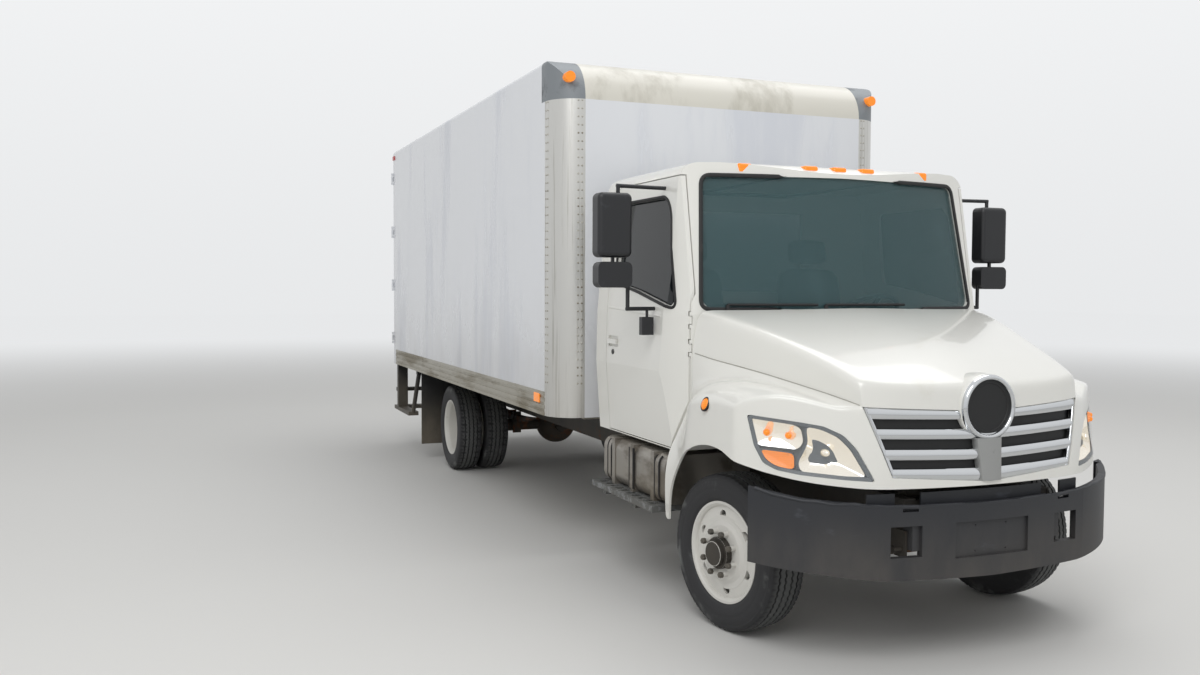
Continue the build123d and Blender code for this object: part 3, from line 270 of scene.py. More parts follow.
def coatedFinish(name, look):
    # one finish from its clean and aged colours, rust, road dust and grain
    look = {**plainLook, "agedRough": look["rough"] + plainLook["roughening"], **look}
    material, tree, shader = newMaterial(name)
    clean, metal = srgb(*look["color"]), look["metal"]
    material.diffuse_color = clean
    layer = agedLayer(
        tree, clean, srgb(*look["aged"]), look["rough"], look["agedRough"], look["patchScale"],
        look["agedAmount"], look["stretch"],
    )
    if look["rust"]:
        layer = fillGroup(tree, rustBloom, {
            "Color": layer["Color"], "Roughness": layer["Roughness"], "Metallic": metal,
            "Scale": look["rustScale"], "Amount": look["rust"],
        })
        metal = layer["Metallic"]
    dust = fillGroup(tree, roadDust, {
        "Color": layer["Color"], "Roughness": layer["Roughness"], "Dust Color": srgb(*look["dust"]),
        "Low Height": look["dustFrom"], "High Height": look["dustTo"], "Strength": look["dustAmount"],
    })
    grain = fillGroup(tree, surfaceGrain, {
        "Scale": look["grainScale"], "Strength": look["grain"], "Depth": look["grainDepth"],
        "Stretch": look["grainStretch"], "Detail": look["grainDetail"],
    })
    feed(tree, shader.inputs, {
        "Base Color": dust["Color"], "Roughness": dust["Roughness"], "Normal": grain["Normal"], "Metallic": metal,
        "Coat Weight": look["coat"], "Coat Roughness": look["coatRough"],
    })
    return material


looks = {
    "cab_paint": {
        "color": (232, 231, 225), "aged": (224, 222, 213), "rough": 0.3, "agedRough": 0.4, "patchScale": 2.2,
        "agedAmount": 0.45, "dustAmount": 0.22, "dustFrom": 0.5, "dustTo": 1.1, "dust": (180, 172, 156), "coat": 0.6,
        "grain": 0.05, "grainScale": 420.0, "grainDepth": 0.0004,
    },
    "body_paint": {
        "color": (226, 228, 232), "aged": (214, 217, 224), "rough": 0.22, "agedRough": 0.34, "patchScale": 1.1,
        "agedAmount": 0.7, "stretch": (1.6, 1.6, 0.25), "dustAmount": 0.22, "dustFrom": 1.0, "dustTo": 1.9,
        "coat": 0.3, "grain": 0.16, "grainScale": 5.0, "grainDepth": 0.006, "grainStretch": (1, 1, 0.15),
        "grainDetail": 1.0,
    },
    "radius_paint": {
        "color": (216, 213, 203), "aged": (190, 186, 174), "rough": 0.35, "patchScale": 2.5, "agedAmount": 0.6,
        "stretch": (1, 1, 0.4), "grain": 0.08, "coat": 0.2,
    },
    "polished_aluminium": {
        "color": (205, 204, 200), "aged": (176, 174, 168), "rough": 0.3, "agedRough": 0.42, "metal": 0.85,
        "patchScale": 2.6, "agedAmount": 0.6, "stretch": (14, 14, 0.35), "dustAmount": 0.25, "dustFrom": 0.8,
        "dustTo": 1.5, "grain": 0.2, "grainScale": 14.0, "grainDepth": 0.0016, "grainStretch": (12, 12, 0.2),
        "grainDetail": 4.0,
    },
    "rail_aluminium": {
        "color": (176, 173, 163), "aged": (140, 134, 120), "rough": 0.42, "agedRough": 0.6, "metal": 0.75,
        "patchScale": 3.5, "agedAmount": 0.7, "stretch": (1, 0.3, 2), "dustAmount": 0.5, "dustFrom": 0.7,
        "dustTo": 1.2, "grain": 0.2, "grainScale": 30.0, "grainDepth": 0.001, "grainStretch": (1, 0.15, 6),
        "grainDetail": 3.0,
    },
    "cast_cap": {
        "color": (132, 137, 141), "aged": (108, 112, 116), "rough": 0.5, "agedRough": 0.65, "metal": 0.25,
        "patchScale": 6.0, "agedAmount": 0.6, "grain": 0.35, "grainScale": 160.0, "grainDepth": 0.0012,
    },
    "bumper_plastic": {
        "color": (36, 38, 43), "aged": (74, 77, 84), "rough": 0.5, "agedRough": 0.68, "patchScale": 5.5,
        "agedAmount": 0.42, "stretch": (0.5, 1, 1.5), "dustAmount": 0.38, "dustFrom": 0.42, "dustTo": 0.8,
        "dust": (112, 106, 98), "grain": 0.3, "grainScale": 500.0, "grainDepth": 0.0008,
    },
    "frame_paint": {
        "color": (30, 29, 28), "aged": (54, 50, 46), "rough": 0.6, "rust": 0.5, "rustScale": 5.0, "dustAmount": 0.6,
        "dustFrom": 0.4, "dustTo": 1.0, "dust": (96, 88, 76), "grain": 0.4, "grainScale": 90.0, "grainDepth": 0.0016,
    },
    "axle_paint": {
        "color": (36, 33, 31), "aged": (70, 60, 50), "rough": 0.65, "rust": 0.75, "rustScale": 7.0, "dustAmount": 0.6,
        "dustFrom": 0.1, "dustTo": 0.8, "dust": (104, 94, 80), "grain": 0.5, "grainScale": 120.0, "grainDepth": 0.002,
    },
    "cast_metal": {
        "color": (84, 84, 84), "aged": (58, 54, 50), "rough": 0.6, "metal": 0.6, "rust": 0.35, "dustAmount": 0.5,
        "dustFrom": 0.4, "grain": 0.6, "grainScale": 150.0, "grainDepth": 0.002,
    },
    "dark_metal": {
        "color": (34, 35, 36), "aged": (60, 58, 55), "rough": 0.55, "metal": 0.4, "dustAmount": 0.4, "grain": 0.6,
        "grainScale": 60.0, "grainDepth": 0.003, "grainStretch": (1, 1, 14),
    },
    "tank_steel": {
        "color": (158, 154, 148), "aged": (118, 112, 104), "rough": 0.34, "agedRough": 0.55, "metal": 0.88,
        "patchScale": 4.0, "agedAmount": 0.7, "stretch": (1, 0.4, 1), "rust": 0.12, "dustFrom": 0.5, "dustTo": 0.95,
        "grain": 0.2, "grainScale": 60.0, "grainDepth": 0.001, "grainStretch": (1, 0.1, 6),
    },
    "black_paint": {
        "color": (32, 32, 33), "aged": (66, 62, 58), "rough": 0.45, "rust": 0.35, "rustScale": 8.0, "dustAmount": 0.5,
        "dustFrom": 0.3, "dustTo": 0.95, "grain": 0.25, "grainScale": 220.0,
    },
    "galvanised_steel": {
        "color": (140, 143, 145), "aged": (104, 106, 106), "rough": 0.45, "metal": 0.7, "patchScale": 28.0,
        "agedAmount": 0.9, "rust": 0.25, "rustScale": 14.0, "dustAmount": 0.35, "dustFrom": 0.4, "dustTo": 0.7,
        "grain": 0.3, "grainScale": 120.0,
    },
    "exhaust_steel": {
        "color": (120, 112, 104), "aged": (86, 70, 56), "rough": 0.55, "metal": 0.6, "rust": 0.85, "rustScale": 6.0,
        "dustAmount": 0.5, "dustFrom": 0.4, "dustTo": 0.9, "grain": 0.4, "grainScale": 120.0,
    },
    "rim_paint": {
        "color": (214, 212, 206), "aged": (190, 184, 174), "rough": 0.42, "agedRough": 0.6, "patchScale": 9.0,
        "agedAmount": 0.4, "rust": 0.14, "rustScale": 11.0, "dustAmount": 0.0, "grain": 0.15, "grainScale": 300.0,
    },
    "black_rubber": {
        "color": (24, 24, 25), "aged": (52, 51, 50), "rough": 0.62, "agedRough": 0.8, "patchScale": 8.0,
        "dustAmount": 0.5, "dustFrom": 0.15, "dustTo": 0.8, "grain": 0.3, "grainScale": 200.0,
    },
    "black_plastic": {
        "color": (30, 31, 34), "aged": (50, 52, 56), "rough": 0.42, "agedRough": 0.6, "patchScale": 10.0,
        "dustAmount": 0.0, "grain": 0.3, "grainScale": 600.0,
    },
    "interior_plastic": {
        "color": (70, 72, 74), "aged": (88, 88, 86), "rough": 0.62, "agedRough": 0.75, "patchScale": 5.0,
        "dustAmount": 0.0, "grain": 0.4, "grainScale": 380.0, "grainDepth": 0.0012,
    },
}


def camelCase(slot):
    first, *others = slot.split("_")
    return first + "".join(word.title() for word in others)


def chromeFinish(name, peel, glow=0.0):
    # bright plating, and where it has peeled the dark plastic under it
    material, tree, shader = newMaterial(name)
    worn = agedLayer(tree, srgb(206, 208, 210), srgb(74, 78, 82), 0.1, 0.5, 9.0, peel, (1, 1, 2))
    haze = fillGroup(tree, surfaceGrain, {
        "Scale": 18.0, "Strength": 0.12, "Depth": 0.002, "Stretch": (1, 1, 3), "Detail": 3.0,
    })
    feed(tree, shader.inputs, {
        "Base Color": worn["Color"], "Metallic": blend(tree, worn["Mask"], 1.0, 0.1),
        "Roughness": worn["Roughness"], "Normal": haze["Normal"],
        "Emission Color": srgb(255, 232, 190), "Emission Strength": glow,
    })
    return material


def glassFinish(name, tint, rough, clear):
    # tinted sheet glass with a film of dust; the clear share lets the light straight through
    material, tree, shader = newMaterial(name)
    dusty = tuple(min(1, c * 1.25 + 0.02) for c in tint[:3]) + (1,)
    film = agedLayer(tree, tint, dusty, rough, rough + 0.1, 2.5, 0.5, (1, 1, 0.5))
    feed(tree, shader.inputs, {
        "Base Color": film["Color"], "Roughness": film["Roughness"], "IOR": 1.45,
        "Alpha": blend(tree, film["Mask"], 1 - clear, min(1.0, 1.06 - clear)),
    })
    return material


def lensFinish(name, tint, glow, strength):
    # ribbed lamp lens, lit from behind
    material, tree, shader = newMaterial(name)
    ribs = wave(tree, 38.0, "Z")
    tone = agedLayer(tree, tint, tuple(c * 0.6 for c in tint[:3]) + (1,), 0.18, 0.35, 22.0, 0.5)
    feed(tree, shader.inputs, {
        "Base Color": tone["Color"], "Roughness": tone["Roughness"], "Normal": bump(tree, ribs, 0.35, 0.002),
        "Emission Color": mixColors(tree, ribs, glow, tint), "Emission Strength": strength,
    })
    return material


def seatFinish():
    # woven cloth: two crossing sets of threads
    material, tree, shader = newMaterial("seatCloth")
    weave = times(tree, wave(tree, 210.0, "X", 0.6), wave(tree, 210.0, "Z", 0.6))
    tone = agedLayer(tree, srgb(62, 64, 70), srgb(84, 84, 88), 0.85, 0.95, 7.0, 0.6)
    feed(tree, shader.inputs, {
        "Base Color": mixColors(tree, times(tree, weave, 0.5), tone["Color"], srgb(34, 35, 38)),
        "Roughness": tone["Roughness"], "Normal": bump(tree, weave, 0.4, 0.001), "Sheen Weight": 0.25,
    })
    return material


def tyreFinish():
    # the wheel's own coordinates: X is the axle, so the radius tells tread from sidewall
    material, tree, shader = newMaterial("tyreRubber")
    here, flat = objectPlace(tree), stretched(tree, (0, 1, 1))
    radius = putNode(tree, "ShaderNodeVectorMath", {0: flat}, operation="LENGTH").outputs["Value"]
    rubber = agedLayer(tree, srgb(38, 38, 40), srgb(72, 72, 74), 0.66, 0.82, 7.0, 0.55)
    scuffs = fade(tree, noise(tree, here, 5.0, 6.0, 0.55), 0.55, 0.68)
    band = times(tree, fade(tree, radius, 0.33, 0.36), fade(tree, radius, 0.385, 0.396, 1.0, 0.0))
    road = times(tree, fade(tree, radius, 0.392, 0.4), 0.35)
    pale = math2(tree, "MAXIMUM", times(tree, band, scuffs, 0.55), road)
    rings = putNode(tree, "ShaderNodeMath", {0: times(tree, radius, 900.0)}, operation="SINE").outputs[0]
    relief = math2(tree, "ADD", noise(tree, here, 240.0, 3.0), times(tree, rings, 0.25))
    feed(tree, shader.inputs, {
        "Base Color": mixColors(tree, pale, rubber["Color"], srgb(122, 124, 122)),
        "Roughness": rubber["Roughness"], "Normal": bump(tree, relief, 0.3, 0.001),
    })
    return material


finishes = {slot: coatedFinish(camelCase(slot), look) for slot, look in looks.items()}
finishes.update({
    "chrome_trim": chromeFinish("chromeTrim", 0.42),
    "tinted_glass": glassFinish("tintedGlass", srgb(74, 104, 108), 0.05, 0.52),
    "clear_lens": glassFinish("clearLens", srgb(196, 204, 208), 0.03, 0.84),
    "amber_lens": lensFinish("amberLens", srgb(232, 122, 24), srgb(255, 170, 60), 0.45),
    "red_lens": lensFinish("redLens", srgb(170, 22, 20), srgb(210, 40, 30), 0.1),
    "seat_fabric": seatFinish(),
    "tyre_rubber": tyreFinish(),
})
darkGlass = glassFinish("doorGlass", srgb(22, 27, 30), 0.05, 0.12)
mirrorGlass = coatedFinish("mirrorGlass", {
    "color": (200, 204, 208), "aged": (180, 184, 188), "rough": 0.04, "agedRough": 0.12, "metal": 1.0,
    "dustAmount": 0.0, "grain": 0.0,
})
print("finishes made:", len(finishes))

for row in frame["record"]["materials"]:
    if row["slot"] not in finishes:
        print("no finish for", row["slot"])
slotOf = {row["node"]: row["material_slot"] for row in frame["record"]["subparts"]}


# stage
stage = {
    "floorColor": srgb(222, 221, 218), "floorRough": 0.8, "floorHalf": 60, "fadeFrom": 7.0, "fadeTo": 30.0,
    "skyLow": (0.80, 0.81, 0.82, 1), "skyHigh": (0.93, 0.94, 0.95, 1), "fill": 0.56,
}


def stageMaterial(name):
    # the floor's far part takes the sky's colour, so that no edge shows
    material, tree, shader = newMaterial(name)
    color = stage["floorColor"]
    speckle = putNode(tree, "ShaderNodeTexNoise", {"Scale": 40.0, "Detail": 6.0}).outputs["Fac"]
    feed(tree, shader.inputs, {
        "Base Color": mixColors(tree, speckle, color, tuple(c * 0.96 for c in color[:3]) + (1,)),
        "Roughness": stage["floorRough"],
    })
    away = putNode(tree, "ShaderNodeVectorMath", {0: objectPlace(tree)}, operation="LENGTH").outputs["Value"]
    glow = putNode(tree, "ShaderNodeEmission", {"Color": stage["skyLow"], "Strength": 1.0}).outputs[0]
    far = fade(tree, away, stage["fadeFrom"], stage["fadeTo"])
    both = putNode(tree, "ShaderNodeMixShader", {0: far, 1: shader.outputs[0], 2: glow})
    tree.links.new(both.outputs[0], tree.nodes["Material Output"].inputs["Surface"])
    return material


floorMesh = bpy.data.meshes.new("floor")
half = stage["floorHalf"]
floorMesh.from_pydata([(-half, -half, 0), (half, -half, 0), (half, half, 0), (-half, half, 0)], [], [(0, 1, 2, 3)])
floorMesh.materials.append(stageMaterial("floorPaint"))
floor = bpy.data.objects.new("floor", floorMesh)
bpy.context.scene.collection.objects.link(floor)
floor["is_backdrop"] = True

world = bpy.data.worlds.new("softStudio")
bpy.context.scene.world = world
world.use_nodes = True
skyTree = world.node_tree
skyTree.nodes.clear()
skyPlace = skyTree.nodes.new("ShaderNodeTexCoord").outputs["Generated"]
skyHeight = putNode(skyTree, "ShaderNodeSeparateXYZ", {0: skyPlace}).outputs["Z"]
seen = skyTree.nodes.new("ShaderNodeLightPath").outputs
mirrored = math2(skyTree, "MAXIMUM", seen["Is Camera Ray"], seen["Is Glossy Ray"])
shown = math2(skyTree, "MAXIMUM", mirrored, seen["Is Transmission Ray"])
sky = putNode(skyTree, "ShaderNodeBackground", {
    "Color": mixColors(skyTree, fade(skyTree, skyHeight, -0.1, 0.5), stage["skyLow"], stage["skyHigh"]),
    "Strength": blend(skyTree, shown, stage["fill"], 1.0),
})
putNode(skyTree, "ShaderNodeOutputWorld", {"Surface": sky.outputs[0]})


def softLamp(name, place, target, size, power):
    data = bpy.data.lights.new(name, "AREA")
    data.shape = "DISK"
    data.size = size
    data.energy = power
    lamp = bpy.data.objects.new(name, data)
    bpy.context.scene.collection.objects.link(lamp)
    lamp.location = place
    lamp.rotation_euler = (Vector(target) - Vector(place)).to_track_quat("-Z", "Y").to_euler()


softLamp("keyLamp", (-6, -9, 9), (0, -1, 1), 7, 500)
softLamp("topLamp", (3, 0, 11), (0, 0, 1), 9, 380)
print("stage ready")


# mesh helpers
bothSides = ((1, "left"), (-1, "right"))


def mix(a, b, t):
    return a + (b - a) * t


def lookUp(rows, x):
    # value at x on straight runs between (x, value) rows, level past the last
    for (a, first), (b, last) in zip(rows, rows[1:]):
        if x <= b:
            return mix(first, last, (x - a) / (b - a))
    return rows[-1][1]


def grid(rows, count, wrapRows=False, wrapCount=False):
    # four-sided faces between neighbouring rows of points
    faces = []
    for j in range(rows if wrapRows else rows - 1):
        here, after = j * count, (j + 1) % rows * count
        for i in range(count if wrapCount else count - 1):
            k = (i + 1) % count
            faces.append((here + i, after + i, after + k, here + k))
    return faces


class Shape:
    def __init__(self):
        self.verts = []
        self.faces = []

    def add(self, verts, faces, place=None):
        start = len(self.verts)
        self.verts += [tuple(place @ Vector(v)) if place else tuple(v) for v in verts]
        self.faces += [tuple(i + start for i in face) for face in faces]
        return self

    def build(self, name, slot, body, stands=None, crease=38, material=None, origin=None):
        mesh = bpy.data.meshes.new(name)
        mesh.from_pydata(self.verts, [], self.faces)
        work = bmesh.new()
        work.from_mesh(mesh)
        bmesh.ops.remove_doubles(work, verts=work.verts, dist=1e-6)
        bmesh.ops.recalc_face_normals(work, faces=work.faces)
        work.to_mesh(mesh)
        work.free()
        smoothed(mesh, crease)
        mesh.materials.append(material or finishes[slot])
        piece = bpy.data.objects.new(name, mesh)
        bpy.context.scene.collection.objects.link(piece)
        if origin is not None:
            piece.matrix_world = origin
        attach(piece, body)
        if stands:
            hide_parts(stands)
        return piece


def smoothed(mesh, crease):
    for face in mesh.polygons:
        face.use_smooth = True
    mesh.set_sharp_from_angle(angle=math.radians(crease))


def lathe(profile, sides):
    # profile points are (along the axle, radius); the axle is X
    angles = [2 * math.pi * k / sides for k in range(sides)]
    verts = [(a, r * math.cos(angle), r * math.sin(angle)) for angle in angles for a, r in profile]
    return verts, grid(sides, len(profile), wrapRows=True)


def turned(name, profile, sides, place, slot, body, crease, material=None):
    return Shape().add(*lathe(profile, sides), place).build(name, slot, body, None, crease, material)


def sweep(path, ring):
    # ring points are (sideways, up) offsets carried along the path, with a cap at each end
    verts, around, last = [], len(ring), len(path) - 1
    for i, point in enumerate(path):
        onward = (path[min(i + 1, last)] - path[max(i - 1, 0)]).normalized()
        side = onward.cross(Vector((0, 0, 1))).normalized()
        lift = side.cross(onward).normalized()
        verts += [tuple(point + side * u + lift * v) for u, v in ring]
    caps = [tuple(range(around)), tuple(last * around + k for k in reversed(range(around)))]
    return verts, grid(last + 1, around, wrapCount=True) + caps


def roundRing(width, height, sides):
    angles = [2 * math.pi * k / sides for k in range(sides)]
    return [(width * math.cos(angle), height * math.sin(angle)) for angle in angles]


def eased(outline, radius, steps=4):
    # closed outline with its corners turned on an arc
    points, path = [Vector(p) for p in outline], []
    for i, corner in enumerate(points):
        before, after = points[i - 1] - corner, points[(i + 1) % len(points)] - corner
        reach = min(radius, before.length * 0.45, after.length * 0.45)
        first, last = corner + before.normalized() * reach, corner + after.normalized() * reach
        for k in range(steps + 1):
            t = k / steps
            path.append(first * (1 - t) ** 2 + corner * (2 * t * (1 - t)) + last * t ** 2)
    return path


def evenly(path, gap):
    # points round a closed path at about the given gap
    made = []
    for a, b in zip(path, path[1:] + path[:1]):
        steps = max(1, round((b - a).length / gap))
        made += [a.lerp(b, k / steps) for k in range(steps)]
    return made


def taken(work):
    # points and faces out of an edit mesh, which is then freed
    work.verts.index_update()
    made = [tuple(v.co) for v in work.verts], [tuple(v.index for v in f.verts) for f in work.faces]
    work.free()
    return made


def roundedBox(size, radius):
    work = bmesh.new()
    bmesh.ops.create_cube(work, size=1.0)
    bmesh.ops.scale(work, vec=Vector(size), verts=work.verts)
    bmesh.ops.bevel(
        work, geom=work.edges[:], offset=radius, segments=3, profile=0.5, affect="EDGES", clamp_overlap=True
    )
    return taken(work)


def slab(outline, depth, bevel):
    # outline (x, z) pushed back along Y, with its edges eased
    work = bmesh.new()
    face = work.faces.new([work.verts.new((u, 0, v)) for u, v in outline])
    pushed = bmesh.ops.extrude_face_region(work, geom=[face])["geom"]
    far = [g for g in pushed if isinstance(g, bmesh.types.BMVert)]
    bmesh.ops.translate(work, vec=Vector((0, depth, 0)), verts=far)
    bmesh.ops.recalc_face_normals(work, faces=work.faces)
    sharp = [e for e in work.edges if e.is_manifold and e.calc_face_angle(0) > 0.6]
    bmesh.ops.bevel(work, geom=sharp, offset=bevel, segments=2, profile=0.5, affect="EDGES", clamp_overlap=True)
    return taken(work)


def facing(place, normal):
    # matrix whose local X points out of the surface
    return Matrix.Translation(place) @ Vector(normal).to_track_quat("X", "Z").to_matrix().to_4x4()


def dome(radius, rise):
    return lathe([(0.0, radius), (rise * 0.55, radius * 0.82), (rise * 0.92, radius * 0.45), (rise, 0.0004)], 8)


def hexNut(radius, rise):
    return lathe([
        (-0.002, radius), (rise * 0.82, radius), (rise, radius * 0.86), (rise, radius * 0.5),
        (rise * 1.15, radius * 0.46), (rise * 1.15, 0.0004),
    ], 6)


def treeOf(mesh):
    return BVHTree.FromPolygons([v.co[:] for v in mesh.vertices], [p.vertices[:] for p in mesh.polygons])


trees = {}


def surfaceHit(name, origin, direction):
    # where a ray first meets a CAD node, and the surface's normal there; None for both on a miss
    if name not in trees:
        trees[name] = treeOf(nodes[name].data)
    return trees[name].ray_cast(Vector(origin), Vector(direction).normalized())[:2]


def fromFront(name, x, z):
    return surfaceHit(name, (x, -8, z), (0, 1, 0))


def fromSide(name, side, station, z):
    return surfaceHit(name, (side * 4, frontAxleY + station, z), (-side, 0, 0))


# wheels
wheels = {
    "hubHeight": 0.402, "frontX": 0.852, "rearX": (0.9635, 0.7095), "rearStation": 5.171, "kingpinX": 0.77,
    "steer": math.radians(9.7),
}
tyre = {
    # half profile of a wall from bead to tread, as (along the axle, radius), and the shoulder's outer point
    "wall": (
        (0.086, 0.251), (0.097, 0.262), (0.1045, 0.270), (0.1075, 0.281), (0.1105, 0.300), (0.1125, 0.3195),
        (0.1117, 0.3225), (0.1124, 0.3255), (0.1112, 0.345), (0.1085, 0.362), (0.1062, 0.3695),
        (0.1068, 0.3725), (0.1035, 0.3815), (0.098, 0.3885),
    ),
    "shoulder": (0.0955, 0.3925), "treadHalf": 0.090, "crown": 0.4015, "crownDrop": 0.0085, "crownHalf": 0.095,
    "grooves": (0.057, 0.02, -0.02, -0.057),
    "groovePoints": ((0.0065, False), (0.0035, True), (-0.0035, True), (-0.0065, False)),
    "driveDepth": 0.0125, "steerDepth": 0.009, "blocks": 72, "zigzag": 0.0026,
    "driveNotch": 0.006, "steerNotch": 0.0035, "wallNotch": 0.0025, "notchFrom": 0.383, "ribHalf": 0.03,
}


def tyreShape(drive):
    # from one bead over the tread to the other, with notches at every block
    def crown(a):
        return tyre["crown"] - tyre["crownDrop"] * (a / tyre["crownHalf"]) ** 2

    depth = tyre["driveDepth"] if drive else tyre["steerDepth"]
    half = [(a, r, "wall") for a, r in tyre["wall"]]
    half += [(*tyre["shoulder"], "shoulder"), (tyre["treadHalf"], crown(tyre["treadHalf"]), "shoulder")]
    tread = [
        (groove + shift, crown(groove + shift) - (depth if deep else 0), "groove" if deep else "edge")
        for groove in tyre["grooves"] for shift, deep in tyre["groovePoints"]
    ]
    profile = half + tread + [(-a, r, kind) for a, r, kind in reversed(half)]
    verts, sides = [], tyre["blocks"] * 4
    for k in range(sides):
        angle = 2 * math.pi * k / sides
        zigzag = tyre["zigzag"] * (1 if k // 2 % 2 else -1)
        for a, r, kind in profile:
            if kind == "shoulder" and k % 4 == 0:
                r -= tyre["driveNotch"] if drive else tyre["steerNotch"]
            if kind == "wall" and r > tyre["notchFrom"] and k % 4 == 0:
                r -= tyre["wallNotch"]
            if drive and kind == "edge" and k % 8 in (0, 1) and abs(a) > tyre["ribHalf"]:
                r -= tyre["driveNotch"]
            shift = zigzag if kind in ("edge", "groove") else 0.0
            verts.append((a + shift, r * math.cos(angle), r * math.sin(angle)))
    return verts, grid(sides, len(profile), wrapRows=True)


def wheelPlace(side, rear):
    mirror = Matrix.Scale(side, 4, (1, 0, 0))
    if rear:
        return Matrix.Translation(at(0, wheels["rearStation"], wheels["hubHeight"])) @ mirror
    pin = Matrix.Translation(at(side * wheels["kingpinX"], 0, wheels["hubHeight"]))
    back = Matrix.Translation(Vector((-side * wheels["kingpinX"], 0, 0)))
    return pin @ Matrix.Rotation(wheels["steer"], 4, "Z") @ back @ mirror


def eachWheel():
    # a mirrored place is given as a plain one plus the mirroring for the points
    for side, word in bothSides:
        for rear, end in ((False, "front"), (True, "rear")):
            place = wheelPlace(side, rear)
            flip = Matrix.Scale(-1, 4, (1, 0, 0)) if place.determinant() < 0 else Matrix.Identity(4)
            yield rear, word + end.title(), f"{word}_{end}", place @ flip, flip


def ontoRim(node, rear, place, flip, local):
    # where a ray along the axle meets the rim, and the way out
    outward = (place @ flip).to_3x3() @ Vector((1, 0, 0))
    rim = node + ("_rims" if rear else "_rim")
    return surfaceHit(rim, place @ flip @ (Vector(local) + Vector((2.2, 0, 0))), -outward)[0], outward


steerTyre, driveTyre = tyreShape(False), tyreShape(True)
for rear, name, node, place, flip in eachWheel():
    shape = Shape()
    for offset in wheels["rearX"] if rear else (wheels["frontX"],):
        shape.add(*(driveTyre if rear else steerTyre), flip @ Matrix.Translation((offset, 0, 0)))
    stands = node + ("_tyres" if rear else "_tyre")
    shape.build(name + "Tyre", "tyre_rubber", node + "_wheel", stands, 30, origin=place)
print("tyres made")


# hood skin: smoothed over the same sections as the CAD hood
hood = {
    # station, then x and z of crown, crease, seam, valley, fender top, side, waist, flank, base
    "sections": (
        (0.470, ((0, 1.692), (0.938, 1.655), (0.975, 1.414), (0.980, 1.240), (0.984, 1.130),
         (0.990, 1.020), (1.002, 0.920), (1.058, 0.8), (1.066, 0.42))),
        (0.320, ((0, 1.666), (0.918, 1.630), (0.948, 1.398), (0.949, 1.240), (0.951, 1.140),
         (0.966, 1.040), (1.002, 0.930), (1.060, 0.8), (1.068, 0.42))),
        (0.150, ((0, 1.636), (0.888, 1.604), (0.912, 1.370), (0.945, 1.262), (1.010, 1.226),
         (1.076, 1.150), (1.082, 1.000), (1.084, 0.8), (1.082, 0.42))),
        (0.000, ((0, 1.605), (0.850, 1.570), (0.862, 1.348), (0.900, 1.276), (0.995, 1.282),
         (1.084, 1.196), (1.088, 1.040), (1.090, 0.8), (1.088, 0.42))),
        (-0.200, ((0, 1.558), (0.785, 1.514), (0.802, 1.318), (0.855, 1.282), (0.985, 1.304),
         (1.086, 1.212), (1.090, 1.050), (1.092, 0.8), (1.090, 0.42))),
        (-0.400, ((0, 1.498), (0.728, 1.452), (0.735, 1.280), (0.800, 1.262), (0.965, 1.298),
         (1.085, 1.205), (1.090, 1.050), (1.092, 0.8), (1.090, 0.42))),
        (-0.560, ((0, 1.440), (0.690, 1.400), (0.690, 1.252), (0.765, 1.235), (0.940, 1.268),
         (1.076, 1.176), (1.088, 1.040), (1.090, 0.8), (1.088, 0.42))),
        (-0.700, ((0, 1.374), (0.655, 1.345), (0.652, 1.224), (0.735, 1.205), (0.905, 1.230),
         (1.050, 1.140), (1.080, 1.020), (1.082, 0.8), (1.080, 0.42))),
        (-0.800, ((0, 1.318), (0.622, 1.298), (0.620, 1.200), (0.705, 1.180), (0.875, 1.200),
         (1.020, 1.115), (1.060, 1.000), (1.062, 0.8), (1.060, 0.42))),
        (-0.920, ((0, 1.240), (0.590, 1.222), (0.588, 1.172), (0.675, 1.150), (0.845, 1.165),
         (0.990, 1.085), (1.040, 0.980), (1.042, 0.8), (1.040, 0.42))),
    ),
    "columns": 13, "lengthwise": (0, 0.05, 0.16, 0.3, 0.44, 0.58, 0.71, 0.82, 0.91, 0.96, 1.0),
    "down": (0, 0.1, 0.28, 0.48, 0.68, 0.86, 0.96, 1.0), "lower": (0.86, 0.74, 0.62, 0.5),
    "lipX": (0, 0.2, 0.38, 0.50, 0.545, 0.585, 0.612, 0.625, 0.64, 0.655, 0.80, 0.94, 1.075),
    # the nose in plan, as two arcs whose points shift from a low height to a high one
    "noseFrom": 0.4, "noseHeight": 1.1, "noseMiddle": (-0.932, -0.816), "tipX": 0.56, "tip": (-0.890, -0.753),
    "cheekX": (0.925, 0.871), "cheek": (-0.678, -0.573), "noseEnd": (1.1, -0.38),
    # station and height along the arch's front lip; height and station along the flank's rear edge
    "lip": ((-1.0, 0.826), (-0.76, 0.846), (-0.567, 0.881), (-0.281, 0.963)),
    "flankRear": ((0.503, 0.392), (0.884, 0.430), (1.14, 0.320)),
    "rearMiddle": 0.150, "rearCorner": 0.292, "rearHalf": 0.935, "rearFender": 0.320,
    "wall": 0.012, "lampEase": 0.014, "seamWidth": 0.0028,
}


def circleCentre(first, middle, last):
    (ax, ay), (bx, by), (cx, cy) = first, middle, last
    d = 2 * (ax * (by - cy) + bx * (cy - ay) + cx * (ay - by))
    a2, b2, c2 = ax * ax + ay * ay, bx * bx + by * by, cx * cx + cy * cy
    ux = (a2 * (by - cy) + b2 * (cy - ay) + c2 * (ay - by)) / d
    uy = (a2 * (cx - bx) + b2 * (ax - cx) + c2 * (bx - ax)) / d
    return ux, uy


def through(first, middle, last, x):
    # the circle through three points of a plan, read at x
    ux, uy = circleCentre(first, middle, last)
    r2 = (first[0] - ux) ** 2 + (first[1] - uy) ** 2
    return uy - math.sqrt(max(0.0, r2 - (x - ux) ** 2))


